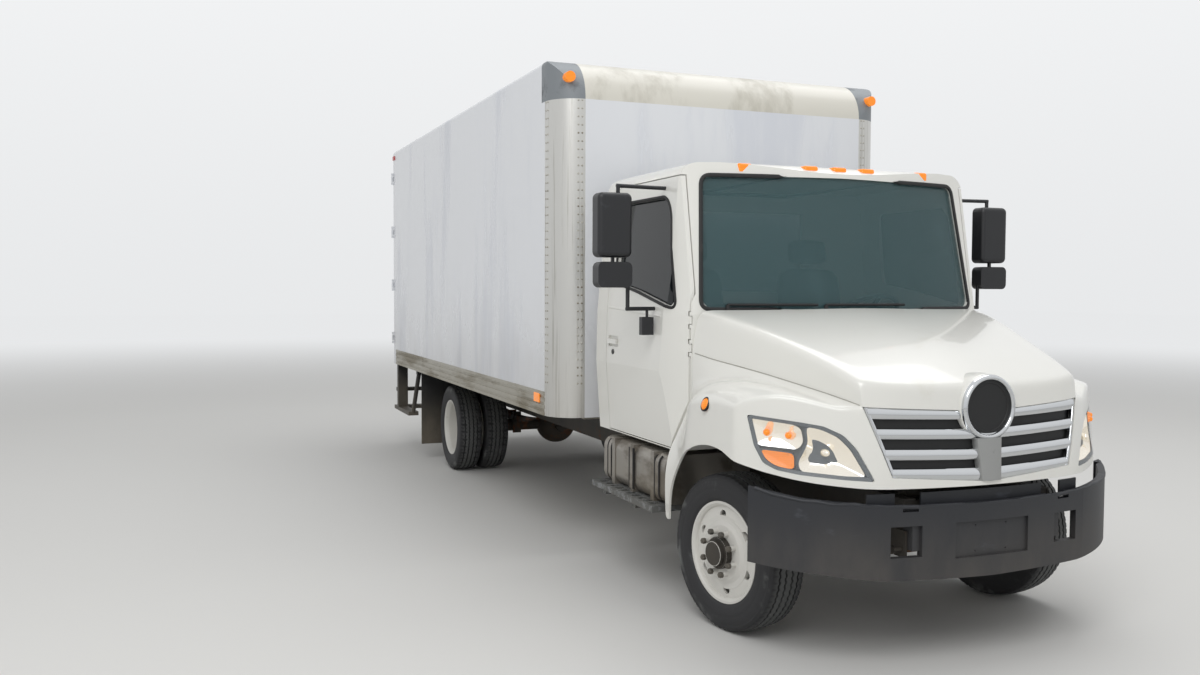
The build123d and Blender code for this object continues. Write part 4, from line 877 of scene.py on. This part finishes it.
def noseStation(x, z):
    t = (z - hood["noseFrom"]) / hood["noseHeight"]
    tip, cheek = (hood["tipX"], mix(*hood["tip"], t)), (mix(*hood["cheekX"], t), mix(*hood["cheek"], t))
    if abs(x) < tip[0]:
        return through((-tip[0], tip[1]), (0, mix(*hood["noseMiddle"], t)), tip, abs(x))
    return through(tip, cheek, hood["noseEnd"], min(abs(x), 1.099))


def sectionAt(station):
    rows = hood["sections"]
    for (a, first), (b, last) in zip(rows, rows[1:]):
        if station >= b or (b, last) == rows[-1]:
            t = (a - station) / (a - b)
            return [(mix(p[0], q[0], t), mix(p[1], q[1], t)) for p, q in zip(first, last)]


def along(start, end, reach):
    # a point that lies the given length from start towards end
    length = math.hypot(end[0] - start[0], end[1] - start[1])
    t = min(0.45, reach / length)
    return (mix(start[0], end[0], t), mix(start[1], end[1], t))


def skinColumns(station):
    crown, crease, seam, valley, top, side = sectionAt(station)[:6]
    return [
        crown, (crease[0] * 0.36, mix(crown[1], crease[1], 0.33)), (crease[0] * 0.7, mix(crown[1], crease[1], 0.67)),
        along(crease, crown, 0.085), crease, along(crease, seam, 0.06), along(seam, crease, 0.011),
        (seam[0] - 0.003, seam[1] - 0.002), along(seam, valley, 0.011), along(valley, seam, 0.02), valley, top, side,
    ]


def sideX(station, z):
    points = sectionAt(station)[5:]
    for (ax, az), (bx, bz) in zip(points, points[1:]):
        if z >= bz:
            return mix(bx, ax, min(1.0, (z - bz) / (az - bz)))
    return points[-1][0]


def rearEdge(column, x):
    # the top's rear edge bows under the windshield and is straight across the fender
    if column < 5:
        return mix(hood["rearMiddle"], hood["rearCorner"], (min(x, hood["rearHalf"]) / hood["rearHalf"]) ** 2)
    return hood["rearFender"]


def hoodPoints():
    # three grids that share their edges: the top, the nose and the flank
    columns, lengthwise, down = hood["columns"], hood["lengthwise"], hood["down"]
    top, front, flank = [], [], []
    for j in range(columns):
        low, high = -0.92, 0.1
        for _ in range(40):
            middle = (low + high) / 2
            low, high = (middle, high) if middle < noseStation(*skinColumns(middle)[j]) else (low, middle)
        rear = rearEdge(j, skinColumns(0.25)[j][0])
        for t in lengthwise:
            station = mix(rear, high, t)
            x, z = skinColumns(station)[j]
            top.append(at(x, station, z))
    rows, steps = len(lengthwise), len(down)
    for j in range(columns):
        start, lipX = top[j * rows + rows - 1], hood["lipX"][j]
        lipZ = lookUp(hood["lip"], noseStation(lipX, 0.85))
        for t in down:
            x, z = mix(start.x, lipX, t), mix(start.z, lipZ, t)
            front.append(at(x, noseStation(x, z), z) if t else start)
    corner = front[-steps:]
    for i, t in enumerate(lengthwise):
        upper = top[(columns - 1) * rows + i]
        for k, s in enumerate(down):
            if i == rows - 1 or not k:
                flank.append(upper if i < rows - 1 else corner[k])
                continue
            z = mix(upper.z, corner[-1].z, s)
            station = mix(lookUp(hood["flankRear"], z), corner[k].y - frontAxleY, t)
            flank.append(at(sideX(station, z), station, z))
        for z in hood["lower"]:
            station = mix(lookUp(hood["flankRear"], z), corner[-1].y - frontAxleY, t)
            flank.append(at(sideX(station, z), station, z))
    return [
        (top, grid(columns, rows)), (front, grid(columns, steps)), (flank, grid(rows, steps + len(hood["lower"]))),
    ]


def prism(outline, start, end, axis):
    # cutter block: outline (x, z) from start to end along Y, or (station, z) along X
    count = len(outline)
    verts = [at(u, w, v) if axis == "Y" else at(w, u, v) for w in (start, end) for u, v in outline]
    return verts, [tuple(range(count)), tuple(range(2 * count - 1, count - 1, -1))] + grid(2, count, wrapCount=True)


def cutAway(piece, cutters):
    # cut blocks out of a piece and keep the result as its mesh
    made = []
    for verts, faces in cutters:
        mesh = bpy.data.meshes.new("cutter")
        mesh.from_pydata([tuple(v) for v in verts], [], faces)
        work = bmesh.new()
        work.from_mesh(mesh)
        bmesh.ops.recalc_face_normals(work, faces=work.faces)
        work.to_mesh(mesh)
        work.free()
        block = bpy.data.objects.new("cutter", mesh)
        bpy.context.scene.collection.objects.link(block)
        made.append(block)
        cut = piece.modifiers.new("cut", "BOOLEAN")
        cut.operation = "DIFFERENCE"
        cut.solver = "EXACT"
        cut.use_self = True
        cut.object = block
    keepMesh(piece)
    for block in made:
        bpy.data.objects.remove(block)


def keepMesh(piece):
    bpy.context.view_layer.update()
    kept = bpy.data.meshes.new_from_object(piece.evaluated_get(bpy.context.evaluated_depsgraph_get()))
    piece.modifiers.clear()
    piece.data = kept
    smoothed(kept, 32)


def arcPoints(first, middle, last, steps=10):
    # points of the arc through three points, without the last
    ux, uy = circleCentre(first, middle, last)
    radius = math.hypot(first[0] - ux, first[1] - uy)
    start, mid, end = (math.atan2(p[1] - uy, p[0] - ux) for p in (first, middle, last))
    span = (end - start) % (2 * math.pi)
    if (mid - start) % (2 * math.pi) > span:
        span -= 2 * math.pi
    angles = [start + span * k / steps for k in range(steps)]
    return [(ux + radius * math.cos(angle), uy + radius * math.sin(angle)) for angle in angles]


def mirroredSide(points, side):
    return [(side * x, z) for x, z in points]


lampOutline = (
    (1.048, 1.156), (0.873, 1.132), (0.787, 1.117), (0.715, 1.079), (0.667, 1.020), (0.598, 0.873), (0.712, 0.879),
    (0.883, 0.894), (0.962, 0.910), (1.002, 0.938), (1.028, 1.015),
)
lampRound = eased(lampOutline, hood["lampEase"])
grilleOutline = [(0, 0.852), (0.522, 0.889), (0.634, 1.208), (0, 1.176), (-0.634, 1.208), (-0.522, 0.889)]
archOutline = list(reversed(hood["lip"])) + [(-1.0, 0.38), (0.48, 0.38), (0.48, 0.503), (0.350, 0.503)]
archOutline += arcPoints((0.345, 0.616), (0.262, 0.8), (0.075, 0.924))
archOutline += arcPoints((0.075, 0.924), (-0.105, 0.969), (-0.281, 0.963))

skin = Shape()
for points, faces in hoodPoints():
    skin.add(points, faces)
    skin.add([(-p.x, p.y, p.z) for p in points], [tuple(reversed(face)) for face in faces])
hoodSkin = skin.build("hoodSkin", "cab_paint", "hood", "hood_shell", 180)
smooth = hoodSkin.modifiers.new("smooth", "SUBSURF")
smooth.levels = smooth.render_levels = 2
wall = hoodSkin.modifiers.new("wall", "SOLIDIFY")
wall.thickness = hood["wall"]
wall.offset = -1
keepMesh(hoodSkin)
cutAway(hoodSkin, [
    prism(archOutline, -1.3, 1.3, "X"), prism(lampRound, -0.2, -1.2, "Y"),
    prism(mirroredSide(lampRound, -1), -0.2, -1.2, "Y"), prism(grilleOutline, -0.55, -1.2, "Y"),
])
skinTree = treeOf(hoodSkin.data)
# a thin grey strip, darker than the cab paint, laid along each hood seam: painted shadow of the panel gap
seamShadowGrey = coatedFinish("seamLine", {
    "color": (168, 166, 158), "aged": (120, 118, 110), "rough": 0.6, "dustAmount": 0.0,
})
seams = Shape()
for side, _ in bothSides:
    line = []
    for k in range(40):
        station = mix(0.30, -0.80, k / 39)
        x, z = sectionAt(station)[2]
        if station > noseStation(x, z) + 0.01:
            line.append(skinTree.find_nearest(at(side * x, station, z))[0])
    seams.add(*sweep(line, roundRing(hood["seamWidth"], hood["seamWidth"], 8)))
seams.build("hoodSeams", "cab_paint", "hood", None, 60, seamShadowGrey)
print("hood skin", len(hoodSkin.data.polygons), "faces")


# headlamps: bezel, bright bowl, bulbs and the amber corner under each clear cover
headlampLook = {
    "bezel": 0.016, "bezelOuter": 0.008, "bezelInner": 0.014, "wallBack": 0.05, "backPlate": 0.052,
    "lip": 0.006, "lipFront": 0.019, "lipBack": 0.030, "lipEase": 0.02, "bulb": 0.017, "lampGlow": 0.4,
    # outline, depth, deepest point and kind of each bowl
    "bowls": (
        (((0.845, 1.112), (0.790, 1.100), (0.728, 1.066), (0.684, 1.012), (0.626, 0.892), (0.712, 0.895),
          (0.876, 0.908), (0.882, 0.950), (0.862, 0.990), (0.842, 1.040)), 0.050, (0.775, 0.985), "bright"),
        (((1.034, 1.140), (0.900, 1.122), (0.864, 1.104), (0.858, 1.040), (0.880, 1.006), (1.014, 1.016)),
         0.034, (0.940, 1.070), "bright"),
        (((1.006, 0.998), (0.894, 0.988), (0.896, 0.914), (0.955, 0.926), (0.986, 0.950)),
         0.014, (0.945, 0.958), "amber"),
    ),
}
reflector = chromeFinish("lampReflector", 0.0, headlampLook["lampGlow"])
bezelGrey = coatedFinish("lampBezel", {
    "color": (96, 99, 102), "aged": (70, 72, 75), "rough": 0.38, "patchScale": 12.0, "dustAmount": 0.0, "grain": 0.2,
})


def frontDepth(x, z, back=0.0):
    return at(x, noseStation(x, z) + back, z)


def inset(outline, amount):
    # outline moved inwards by the given amount, corner by corner
    made = []
    area = sum(a[0] * b[1] - b[0] * a[1] for a, b in zip(outline, outline[1:] + outline[:1]))
    for k, here in enumerate(outline):
        before, after = outline[k - 1], outline[(k + 1) % len(outline)]
        first = Vector((here[0] - before[0], here[1] - before[1])).normalized()
        second = Vector((after[0] - here[0], after[1] - here[1])).normalized()
        inward = Vector((-first.y - second.y, first.x + second.x)) * (1 if area > 0 else -1)
        inward *= amount / max(0.5, 1 + first.dot(second))
        made.append((here[0] + inward.x, here[1] + inward.y))
    return made


def ringBetween(outer, inner, outerBack, innerBack):
    # band between two outlines, each at its own depth behind the nose
    verts = [frontDepth(x, z, outerBack) for x, z in outer] + [frontDepth(x, z, innerBack) for x, z in inner]
    return verts, grid(2, len(outer), wrapCount=True)


def bowlInside(outline, depth, middle, rings=5):
    # reflector that deepens from its outline towards a middle point
    verts, count = [], len(outline)
    for r in range(rings + 1):
        t = r / rings
        back = 0.02 + depth * math.sin(t * math.pi / 2)
        verts += [frontDepth(mix(x, middle[0], t * 0.97), mix(z, middle[1], t * 0.97), back) for x, z in outline]
    return verts, grid(rings + 1, count, wrapCount=True) + [tuple(rings * count + k for k in range(count))]


for side, word in bothSides:
    bezel, bowls = Shape(), {"bright": Shape(), "amber": Shape()}
    outer = mirroredSide(lampRound, side)
    inner = mirroredSide(inset(lampRound, headlampLook["bezel"]), side)
    front, back, deep = headlampLook["bezelOuter"], headlampLook["bezelInner"], headlampLook["wallBack"]
    for band in ((outer, inner, front, back), (outer, outer, front, deep), (inner, inner, back, deep)):
        bezel.add(*ringBetween(*band))
    count = len(inner)
    plate = [frontDepth(x, z, headlampLook["backPlate"]) for x, z in inner + [(side * 0.85, 1.01)]]
    bezel.add(plate, [(k, (k + 1) % count, count) for k in range(count)])
    for outline, depth, middle, kind in headlampLook["bowls"]:
        edge = mirroredSide(eased(outline, headlampLook["lipEase"], 3), side)
        grown = mirroredSide(eased(inset(outline, -headlampLook["lip"]), headlampLook["lipEase"], 3), side)
        bowls[kind].add(*bowlInside(edge, depth, (side * middle[0], middle[1])))
        bezel.add(*ringBetween(edge, grown, headlampLook["lipFront"], headlampLook["lipBack"]))
    bulb = [(0, 0.016), (0.012, 0.017), (0.03, 0.014), (0.04, 0.006), (0.042, 0.0004)]
    bowls["bright"].add(*lathe(bulb, 16), facing(frontDepth(side * 0.775, 0.995, 0.048), (0, -1, 0)))
    bulb = [(0, headlampLook["bulb"]), (0.01, headlampLook["bulb"]), (0.026, 0.010), (0.03, 0.0004)]
    for x, z in ((0.905, 1.068), (0.978, 1.078)):
        bowls["amber"].add(*lathe(bulb, 14), facing(frontDepth(side * x, z, 0.030), (side * 0.5, -1, 0)))
    bezel.build(word + "LampBezel", "black_plastic", "hood", material=bezelGrey)
    bowls["bright"].build(word + "LampBowl", "chrome_trim", "hood", None, 60, reflector)
    bowls["amber"].build(word + "LampAmber", "amber_lens", "hood", None, 60)
print("headlamps made")

# grille: convex plated bars, the centre post and the bare round badge
grilleLook = {
    # height of each bar's edges at the middle and at the outer end
    "bars": (
        ((1.176, 1.208), (1.136, 1.154)), ((1.092, 1.110), (1.046, 1.064)), ((1.000, 1.018), (0.952, 0.970)),
        ((0.912, 0.930), (0.854, 0.889)),
    ),
    "low": 0.889, "high": 1.205, "swell": 0.012, "thick": 0.012, "frameWidth": 0.022,
    "frame": ((0.0, 0.010), (0.2, 0.003), (0.8, 0.003), (1.0, 0.010)),
    "backHeights": (0.875, 0.95, 1.03, 1.11, 1.165), "postLow": 0.856, "postHigh": 1.052,
    "post": ((-1.0, 0.010), (-0.9, -0.004), (-0.5, -0.010), (0, -0.012), (0.5, -0.010), (0.9, -0.004), (1.0, 0.010)),
}
grilleBack = coatedFinish("grilleBack", {
    "color": (20, 21, 22), "aged": (40, 40, 41), "rough": 0.6, "patchScale": 14.0, "dustAmount": 0.0, "grain": 0.4,
})
postPaint = coatedFinish("grillePost", {
    "color": (158, 159, 158), "aged": (128, 129, 129), "rough": 0.4, "metal": 0.6, "patchScale": 12.0,
    "dustAmount": 0.2, "grain": 0.2,
})


def frontSheet(rows, back, thick):
    # curved panel from rows of (x, z, station shift), closed behind
    high, count = len(rows), len(rows[0])
    half = high * count
    verts = [frontDepth(x, z, back + shift + extra) for extra in (0.0, thick) for row in rows for x, z, shift in row]
    faces = grid(high, count)
    faces += [tuple(half + i for i in reversed(face)) for face in faces]
    edge = list(range(count)) + [j * count + count - 1 for j in range(1, high)]
    edge += [(high - 1) * count + i for i in range(count - 2, -1, -1)] + [j * count for j in range(high - 2, 0, -1)]
    return verts, faces + [(a, b, half + b, half + a) for a, b in zip(edge, edge[1:] + edge[:1])]


def grilleEdge(z):
    # half width of the grille opening at a height
    return mix(0.522, 0.634, (z - 0.889) / 0.319) if z > 0.889 else 0.522


def barRows(top, bottom, xs):
    # one bar: a rounded face whose middle stands out
    rows = []
    for t in (0, 0.08, 0.25, 0.5, 0.75, 0.92, 1.0):
        shift = grilleLook["swell"] * (1 - math.sin(math.pi * min(max(t, 0.02), 0.98)) ** 0.5)
        rows.append([(x, mix(mix(*top, abs(x) / 0.6), mix(*bottom, abs(x) / 0.6), t), shift) for x in xs])
    return rows


chromeBars = Shape()
for top, bottom in grilleLook["bars"]:
    reach = grilleEdge(bottom[1]) - 0.004
    xs = [reach * (k / 14 - 1) for k in range(29)]
    chromeBars.add(*frontSheet(barRows(top, bottom, xs), 0.003, grilleLook["thick"]))
heights = [mix(grilleLook["low"], grilleLook["high"], k / 8) for k in range(9)]
for side, _ in bothSides:
    rows = [
        [(side * (grilleEdge(z) - 0.003 - grilleLook["frameWidth"] * u), z, shift) for z in heights]
        for u, shift in grilleLook["frame"]
    ]
    chromeBars.add(*frontSheet(rows, 0.002, grilleLook["thick"]))
chromeBars.build("grilleBars", "chrome_trim", "hood", "grille", 50)
rows = [[((k / 10 - 1) * (grilleEdge(z) - 0.01), z, 0) for k in range(21)] for z in grilleLook["backHeights"]]
Shape().add(*frontSheet(rows, 0.034, 0.008)).build("grilleBack", "black_plastic", "hood", material=grilleBack)
heights = [mix(grilleLook["postLow"], grilleLook["postHigh"], k / 6) for k in range(7)]
rows = [
    [(x * mix(0.060, 0.083, (z - grilleLook["postLow"]) / 0.264), z, shift) for z in heights]
    for x, shift in grilleLook["post"]
]
Shape().add(*frontSheet(rows, 0.0, 0.02)).build("grillePost", "black_plastic", "hood", None, 30, postPaint)

# badge: body-coloured collar, plated ring and dark disc
badge = {
    "z": 1.193, "face": -0.832, "sides": 72,
    "collar": ((-0.085, 0.157), (0.004, 0.157), (0.014, 0.1555), (0.017, 0.1525), (0.017, 0.148)),
    "ring": (
        (0.0, 0.153), (0.026, 0.153), (0.034, 0.150), (0.039, 0.143), (0.040, 0.137), (0.036, 0.131),
        (0.030, 0.128), (0.022, 0.127),
    ),
    "disc": (
        (0.0, 0.129), (0.024, 0.129), (0.026, 0.120), (0.026, 0.112), (0.023, 0.109), (0.0235, 0.06),
        (0.024, 0.0004),
    ),
}
badgePlace = facing(at(0, badge["face"], badge["z"]), (0, -1, 0))
turned("badgeCollar", badge["collar"], badge["sides"], badgePlace, "cab_paint", "hood", 50)
turned("badgeRing", badge["ring"], badge["sides"], badgePlace, "chrome_trim", "hood", 50)
turned("badgeDisc", badge["disc"], badge["sides"], badgePlace, "black_plastic", "hood", 40, grilleBack)
print("grille made")

# black rubber round the windshield and the door windows
gasketLook = {
    "width": 0.022, "rise": 0.006, "doorWidth": 0.016, "sunk": 0.004, "corner": 0.055, "gap": 0.035,
    "windshield": [(0.893, 1.634), (0.838, 2.352), (-0.838, 2.352), (-0.893, 1.634)], "windshieldGrowth": 0.006,
    "window": [(0.432, 1.632), (0.920, 1.728), (1.235, 1.775), (1.245, 2.245), (0.610, 2.245), (0.535, 2.160)],
    "windowGrowth": 0.005,
}


def gasket(name, outline, growth, caster, width, body):
    # raised strip with rounded edges, laid on the surface by one ray for each point; a miss is passed over
    path = evenly(eased(inset(outline, -growth), gasketLook["corner"], 8), gasketLook["gap"])
    hits = [hit for hit in (caster(p.x, p.y) for p in path) if hit[0] is not None]
    half, rise, sunk = width / 2, gasketLook["rise"], -gasketLook["sunk"]
    ring = [
        (-half, sunk), (-half, rise * 0.6), (-half * 0.6, rise), (half * 0.6, rise), (half, rise * 0.6), (half, sunk),
    ]
    verts, count = [], len(hits)
    for k, (place, normal) in enumerate(hits):
        onward = (hits[(k + 1) % count][0] - hits[k - 1][0]).normalized()
        sideways = onward.cross(normal).normalized()
        verts += [tuple(place + sideways * u + normal * v) for u, v in ring]
    Shape().add(verts, grid(count, len(ring), True, True)).build(name, "black_rubber", body, None, 60)


gasket(
    "windshieldGasket", gasketLook["windshield"], gasketLook["windshieldGrowth"],
    lambda x, z: fromFront("cab_shell", x, z), gasketLook["width"], "chassis",
)
for side, word in bothSides:
    gasket(
        word + "WindowGasket", gasketLook["window"], gasketLook["windowGrowth"],
        lambda station, z: fromSide(word + "_door", side, station, z), gasketLook["doorWidth"], word + "_door_body",
    )
print("gaskets made")

# seats: crowned cushions with a piped edge on moulded bases
seatLook = {
    "x": 0.45, "lean": -0.13, "tilt": 0.04, "pinch": 0.03, "power": 7.0, "steps": 14, "piping": 0.006,
    # size (across, up, through), crown, station and height of each padded form that leans with the back
    "backs": (((0.49, 0.60, 0.13), 0.02, 1.345, 1.585), ((0.29, 0.17, 0.085), 0.012, 1.388, 1.985)),
    "cushion": (0.50, 0.47, 0.17), "cushionCrown": 0.02,
    "bases": (((0.44, 0.46, 0.20), 0.02, 1.09, 1.010), ((0.36, 0.36, 0.03), 0.008, 1.07, 1.118)),
}


def pillow(size, crown):
    # closed cushion: each face bulges and the sides draw in between the corners
    work = bmesh.new()
    bmesh.ops.create_cube(work, size=2.0)
    bmesh.ops.subdivide_edges(work, edges=work.edges[:], cuts=seatLook["steps"], use_grid_fill=True)
    half, power = [s / 2 for s in size], seatLook["power"]
    for vert in work.verts:
        length = sum(abs(c) ** power for c in vert.co) ** (1 / power)
        u, v, w = (c / length for c in vert.co)
        swell = [crown * (1 - a * a) * (1 - b * b) for a, b in ((v, w), (u, w), (u, v))]
        draw = 1 - seatLook["pinch"] * (1 - u * u * v * v)
        groove = seatLook["piping"] * math.exp(-((abs(u) - 0.45) / 0.03) ** 2) if w > 0.5 else 0
        vert.co = (
            (half[0] - crown) * u * draw + swell[0] * u, (half[1] - crown) * v * draw + swell[1] * v,
            (half[2] - crown) * w + swell[2] * w - groove,
        )
    return taken(work)


seatCloth, seatBacks, seatBases = Shape(), Shape(), Shape()
for side, _ in bothSides:
    x = side * seatLook["x"]
    upright = Matrix.Rotation(seatLook["lean"], 4, "X") @ Matrix.Rotation(math.pi / 2, 4, "X")
    place = Matrix.Translation(at(x, 1.03, 1.212)) @ Matrix.Rotation(seatLook["tilt"], 4, "X")
    seatCloth.add(*pillow(seatLook["cushion"], seatLook["cushionCrown"]), place)
    for size, crown, station, z in seatLook["backs"]:
        seatBacks.add(*pillow(size, crown), Matrix.Translation(at(x, station, z)) @ upright)
    for size, radius, station, z in seatLook["bases"]:
        seatBases.add(*roundedBox(size, radius), Matrix.Translation(at(x, station, z)))
cushions = seatCloth.build("seatCushions", "seat_fabric", "chassis", "seats", 80)
backs = seatBacks.build("seatBacks", "seat_fabric", "chassis", None, 80)
seatBases.build("seatBases", "interior_plastic", "chassis")
print("seats made")

# round amber side markers on the fenders
marker = {
    "station": -0.10, "z": 1.168, "sunk": 0.004, "sides": 28,
    "ring": ((0, 0.037), (0.008, 0.037), (0.011, 0.034), (0.010, 0.030), (0, 0.030)),
    "lens": ((0, 0.030), (0.010, 0.029), (0.016, 0.022), (0.019, 0.012), (0.020, 0.0004)),
}
for side, word in bothSides:
    x = sideX(marker["station"], marker["z"]) - marker["sunk"]
    place = facing(at(side * x, marker["station"], marker["z"]), (side, 0, 0.35))
    turned(word + "MarkerRing", marker["ring"], marker["sides"], place, "black_rubber", "hood", 38)
    turned(word + "MarkerLens", marker["lens"], marker["sides"], place, "amber_lens", "hood", 60)

# rivet rows down the corner posts and along the bottom rails
rivetLook = {
    "radius": 0.0065, "rise": 0.0035, "sunk": 0.0005, "postX": 1.046, "postStation": 1.865, "postRadius": 0.205,
    "angles": (6, 13, 77, 84), "postFrom": 1.12, "gap": 0.052, "postCount": 36,
    "railHeights": (0.925, 1.036), "railFrom": 1.95, "railGap": 0.105, "railCount": 47,
}
rivets = Shape()
rivet = dome(rivetLook["radius"], rivetLook["rise"])
for side, _ in bothSides:
    for angle in rivetLook["angles"]:
        sine, cosine = math.sin(math.radians(angle)), math.cos(math.radians(angle))
        x = side * (rivetLook["postX"] + rivetLook["postRadius"] * sine)
        station = rivetLook["postStation"] - rivetLook["postRadius"] * cosine
        for k in range(rivetLook["postCount"]):
            z = rivetLook["postFrom"] + k * rivetLook["gap"]
            rivets.add(*rivet, facing(at(x, station, z), (side * sine, -cosine, 0)))
    for k in range(rivetLook["railCount"]):
        for z in rivetLook["railHeights"]:
            place, normal = fromSide("box_floor", side, rivetLook["railFrom"] + k * rivetLook["railGap"], z)
            if place is not None:
                rivets.add(*rivet, facing(place - normal * rivetLook["sunk"], normal))
rivets.build("bodyRivets", "rail_aluminium", "chassis", None, 60)
print("rivets made")

# wheel nuts and the dark hubs in the middle of the wheels
wheelNuts = {"circle": 0.110, "count": 8, "from": 22.5, "radius": 0.0155, "rise": 0.018, "sunk": 0.002}
hubProfile = (
    (-0.058, 0.0815), (-0.028, 0.0815), (-0.0250, 0.079), (-0.0250, 0.0640), (-0.004, 0.0640), (0.002, 0.058),
    (0.0035, 0.02), (0.0035, 0.0004),
)
nut = hexNut(wheelNuts["radius"], wheelNuts["rise"])
for rear, name, node, place, flip in eachWheel():
    shape = Shape()
    for k in range(wheelNuts["count"]):
        angle = math.radians(wheelNuts["from"] + 360 / wheelNuts["count"] * k)
        local = (0, wheelNuts["circle"] * math.cos(angle), wheelNuts["circle"] * math.sin(angle))
        found, outward = ontoRim(node, rear, place, flip, local)
        if found is not None:
            shape.add(*nut, facing(found - outward * wheelNuts["sunk"], outward))
    shape.build(name + "Nuts", "cast_metal", node + "_wheel", None, 30)
    found, outward = ontoRim(node, rear, place, flip, (0, 0, 0))
    if found is not None:
        turned(name + "Hub", hubProfile, 40, facing(found, outward), "frame_paint", node + "_wheel", 30)
print("wheel nuts and hubs made")

# tank straps with rubber edges
tankLow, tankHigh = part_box("fuel_tank")
strapLook = {
    "count": 3, "inset": 0.10, "steps": 26, "topInset": 0.02, "sunk": 0.003,
    # width, rise and shift of the strap and of its two edges
    "strap": (0.045, 0.006, 0.0), "edges": ((0.009, 0.008, 0.027), (0.009, 0.008, -0.027)),
}


def addStrap(shape, hits, width, rise, shift):
    # flat band over the tank's outer face
    ring = [(-width / 2, -strapLook["sunk"]), (-width / 2, rise), (width / 2, rise), (width / 2, -strapLook["sunk"])]
    verts = [tuple(place + Vector((0, u + shift, 0)) + normal * v) for place, normal in hits for u, v in ring]
    caps = [(0, 1, 2, 3), tuple(len(verts) - 1 - m for m in range(4))]
    shape.add(verts, grid(len(hits), 4, wrapCount=True) + caps)


straps, strapEdges = Shape(), Shape()
for k in range(strapLook["count"]):
    y = mix(tankLow[1] + strapLook["inset"], tankHigh[1] - strapLook["inset"], k / (strapLook["count"] - 1))
    hits = []
    for j in range(strapLook["steps"]):
        z = mix(tankHigh[2] - strapLook["topInset"], tankLow[2] + strapLook["topInset"], j / (strapLook["steps"] - 1))
        hits.append(fromSide("fuel_tank", -1, y - frontAxleY, z))
    hits = [hit for hit in hits if hit[0] is not None]
    addStrap(straps, hits, *strapLook["strap"])
    for row in strapLook["edges"]:
        addStrap(strapEdges, hits, *row)
straps.build("tankStraps", "tank_steel", "chassis", None, 40)
strapEdges.build("tankStrapEdges", "black_rubber", "chassis", None, 40)

# bumper: rounded strip along the top edge, found by rays from the front
bumperLook = {
    "radius": 0.011, "gap": 0.05, "count": 21, "reach": 0.06, "shift": Vector((0, 0.010, -0.004)),
    "heights": (0.8375, 0.83, 0.82, 0.81, 0.80, 0.79, 0.78, 0.77, 0.765, 0.76, 0.755, 0.75),
}
topEdge = []
for k in range(-bumperLook["count"], bumperLook["count"] + 1):
    x = k * bumperLook["gap"]
    limit = noseStation(min(abs(x), 1.09), 0.42) + bumperLook["reach"]
    for z in bumperLook["heights"]:
        place = fromFront("front_bumper", x, z)[0]
        if place is not None and place.y - frontAxleY < limit:
            topEdge.append(place + bumperLook["shift"])
            break
Shape().add(*sweep(topEdge, roundRing(bumperLook["radius"], bumperLook["radius"], 10))).build(
    "bumperTopEdge", "bumper_plastic", "chassis", None, 60
)

# doors: key lock, crease line, and the mirrors' glass, which looks back
doorLook = {
    "lock": ((0, 0.016), (0.004, 0.016), (0.006, 0.013), (0.006, 0.004), (0.003, 0.0035), (0.003, 0.0004)),
    "lockPlace": (1.225, 1.352), "creaseFrom": 0.56, "creaseTo": 1.31, "creaseZ": 1.585, "creaseSlope": 0.05,
    "mirrorX": 1.295, "glassHalf": 0.083, "corner": 0.025, "thick": 0.003, "bevel": 0.001,
    # name, station, height and half height of each mirror glass
    "mirrors": (("MirrorGlass", 0.646, 2.081, 0.155), ("SpotMirrorGlass", 0.641, 1.812, 0.0525)),
}
for side, word in bothSides:
    door, body = word + "_door", word + "_door_body"
    place, normal = fromSide(door, side, *doorLook["lockPlace"])
    if place is not None:
        turned(word + "DoorLock", doorLook["lock"], 20, facing(place, normal), "cast_metal", body, 40)
    ledge = []
    for k in range(20):
        station = mix(doorLook["creaseFrom"], doorLook["creaseTo"], k / 19)
        z = doorLook["creaseZ"] + doorLook["creaseSlope"] * (station - doorLook["creaseFrom"])
        place = fromSide(door, side, station, z)[0]
        if place is not None:
            ledge.append(place - Vector((side * 0.002, 0, 0)))
    Shape().add(*sweep(ledge, roundRing(0.005, 0.009, 8))).build(word + "DoorCrease", "cab_paint", body, None, 60)
    for name, station, z, tall in doorLook["mirrors"]:
        wide = doorLook["glassHalf"]
        outline = eased([(-wide, -tall), (wide, -tall), (wide, tall), (-wide, tall)], doorLook["corner"], 5)
        place = Matrix.Translation(at(side * doorLook["mirrorX"], station, z))
        glass = Shape().add(*slab(outline, doorLook["thick"], doorLook["bevel"]), place)
        glass.build(word + name, "chrome_trim", body, None, 40, mirrorGlass)
print("small parts made")

for name, node in nodes.items():
    material = darkGlass if name in ("left_door_glass", "right_door_glass") else finishes.get(slotOf.get(name))
    if material:
        node.data.materials.clear()
        node.data.materials.append(material)

low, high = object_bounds()
